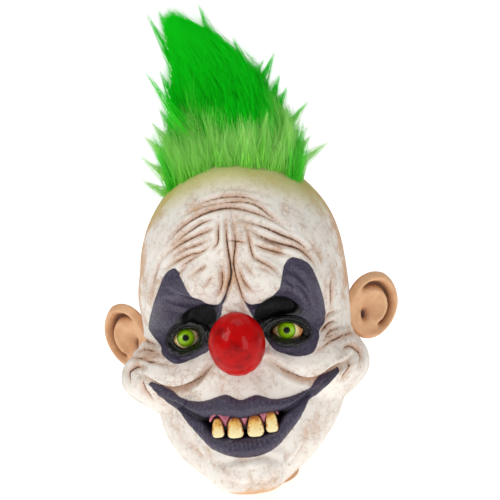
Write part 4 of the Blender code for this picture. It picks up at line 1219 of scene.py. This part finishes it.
# long hairs, gathered into locks
HAIRS = 12000
LOCKS = 150
HAIR_ROOTED = 0.74   # share of the way out at which hairs leave the pile
ROUND_MM = 45   # rough radius that turns an angle round the tuft into a distance
lock_angle = chance.uniform(0, 2 * np.pi, LOCKS)
lock_start = -30 + 128 * chance.uniform(0, 1, LOCKS) ** 1.25
lock_length = np.minimum(chance.uniform(38, 56, LOCKS), TUFT_TOP + 4 - lock_start)
lock_flare = chance.uniform(1.00, 1.14, LOCKS)


def hair_paths(angle, start, length, flare):
    """Hairs that rise from inside the tuft to its outline and a little beyond."""
    height = start[:, None] + length[:, None] * along
    swell = HAIR_ROOTED + (flare[:, None] - HAIR_ROOTED) * along**0.8
    return tuft_place(np.broadcast_to(angle[:, None], height.shape), height, swell)


lock_paths = hair_paths(lock_angle, lock_start, lock_length, lock_flare)
angle = chance.uniform(0, 2 * np.pi, HAIRS)
start = -34 + 140 * chance.uniform(0, 1, HAIRS) ** 1.2
difference = np.abs((angle[:, None] - lock_angle + np.pi) % (2 * np.pi) - np.pi) * ROUND_MM
nearest = np.argmin(np.hypot(difference, start[:, None] - lock_start), axis=1)
length = np.minimum(chance.uniform(30, 46, HAIRS), TUFT_TOP - start)
paths = hair_paths(angle, start, length, chance.uniform(0.96, 1.06, HAIRS))
pull = (chance.uniform(0.20, 0.62, HAIRS)[:, None] * along**1.6)[..., None]
paths = paths + (lock_paths[nearest] - paths) * pull
paths += chance.normal(0, 1, paths.shape) * along[:, None] * 1.1
paths += chance.normal(0, 4.0, (HAIRS, 1, 3)) * (along**2)[:, None]
lime = eased((16 - start + 14 * np.sin(3.1 * angle + 1.0)) / 30) * chance.uniform(0.45, 1, HAIRS)
half = HAIRS // 2
for name, part in (("fur_hair_a", slice(0, half)), ("fur_hair_b", slice(half, None))):
    fur_piece(name, paths[part], chance.uniform(0.26, 0.40, HAIRS)[part],
              {"lime": lime[part], "darkening": chance.uniform(0, 1, HAIRS)[part] ** 2})

# the lime fringe and the long stray locks of the outline
FRINGE_LEFT = 63
FRINGE_RIGHT = 58
FRINGE_DEEP = 37
FRINGE_DROP = 42
FRINGE_SPREAD = 0.10   # of a radian, along the fringe
FRINGE_BREADTH = 0.035   # of the way in, across it
FRINGE_LOCKS = 90
FRINGE_HAIRS = 56
FRINGE_TIPS = (4.2, 3.0, 5.0)   # how far a lock's tips stand apart
lock_turn = np.arange(FRINGE_LOCKS) + chance.uniform(-0.3, 0.3, FRINGE_LOCKS)
lock_turn *= 2 * np.pi / FRINGE_LOCKS
lock_row = chance.uniform(0.80, 1.0, FRINGE_LOCKS)
lock_long = chance.uniform(24, 50, FRINGE_LOCKS)
lock_out = chance.uniform(0.02, 0.42, FRINGE_LOCKS)


def fringe_foot(turns, rows, wide):
    """Where the fringe is rooted on the crown, which falls away to its sides."""
    x, y = wide * rows * np.cos(turns), FRINGE_DEEP * rows * np.sin(turns)
    return np.stack([x, y, -FRINGE_DROP * rows**2 * (0.40 + 0.60 * np.cos(turns) ** 2)], -1)


def bent(foot, knee, tips):
    """Hairs from foot to tip, bent at the knee."""
    share = along[None, :, None]
    first, second, third = (1 - share) ** 2, 2 * share * (1 - share), share**2
    return foot[:, None] * first + knee[:, None] * second + tips[:, None] * third


fringe_paths = []
for turn_to, row, long, out in zip(lock_turn, lock_row, lock_long, lock_out):
    wide = FRINGE_RIGHT if math.cos(turn_to) > 0 else FRINGE_LEFT
    spread = chance.normal(0, 1, (FRINGE_HAIRS, 3))
    turns = turn_to + spread[:, 0] * FRINGE_SPREAD
    foot = fringe_foot(turns, row + spread[:, 1] * FRINGE_BREADTH, wide)
    lean = np.array([math.cos(turn_to) * out, math.sin(turn_to) * out, 1])
    tips = fringe_foot(turn_to, row, wide) + lean * long
    tips = tips + chance.normal(0, 1, (FRINGE_HAIRS, 3)) * FRINGE_TIPS
    knee = foot + lean * long * 0.45 + np.stack([np.cos(turns), np.sin(turns), 0 * turns], -1) * 3
    fringe_paths.append(bent(foot, knee, tips))
fringe_paths = np.concatenate(fringe_paths)
count = len(fringe_paths)
off_middle = np.abs(fringe_paths[:, 0, 0] + 2)
fur_piece("fur_fringe", fringe_paths, chance.uniform(0.26, 0.38, count),
          {"lime": chance.uniform(0.6, 1, count) * (1 - 0.75 * eased((off_middle - 46) / 8)),
           "darkening": chance.uniform(0, 0.7, count) ** 2})

# across and height above the crown of each stray lock's foot and tip, and its reach forward
STRAYS = (
    (-44, 84, -67, 135, 0), (-44, 104, -56, 139, 0), (-40, 106, -43, 138, 0), (-6, 98, -18, 142, 0),
    (-26, 104, -30, 130, 0), (20, 76, 11, 108, 0), (30, 56, 49, 90, 0), (22, 60, 38, 84, 0),
    (38, 44, 52, 69, 0), (44, 34, 58, 56, 0), (46, 14, 76, 41, 0), (54, -10, 75, 8, 0),
    (50, -22, 92, 2, -4), (56, -36, 70, -14, 0), (-36, 26, -70, 87, -30), (-48, 48, -60, 80, 0),
    (-50, 18, -65, 46, 0), (-50, 2, -74, 33, 0), (-50, -14, -82, 20, 0), (-52, -26, -87, 1, -4),
    (-56, -40, -88, -22, -4), (-56, -34, -74, -8, 0), (-10, 4, -16, 40, -36), (30, 2, 40, 42, -34),
    (14, 0, 22, 36, -36), (48, 0, 58, 36, -20),
)
STRAY_HAIRS = 66
STRAY_FOOT = (4.0, 5.0, 5.0)   # how far a stray lock's roots stand apart
stray_paths = []
for foot_x, foot_h, tip_x, tip_h, forward in STRAYS:
    spread = chance.normal(0, 1, (STRAY_HAIRS, 3)) * STRAY_FOOT
    foot = np.array([foot_x, forward, foot_h]) + spread
    tips = np.array([tip_x, forward, tip_h]) + chance.normal(0, 1, (STRAY_HAIRS, 3)) * 0.8
    tips += (foot - tips) * chance.uniform(0, 0.35, STRAY_HAIRS)[:, None]
    stray_paths.append(bent(foot, (foot + tips) / 2 + np.array([0, 0, -4]), tips))
stray_paths = np.concatenate(stray_paths)
count = len(stray_paths)
fur_piece("fur_strays", stray_paths, chance.uniform(0.24, 0.34, count),
          {"lime": 0.9 * eased((34 - stray_paths[:, 0, 2]) / 36),
           "darkening": chance.uniform(0, 1, count)})
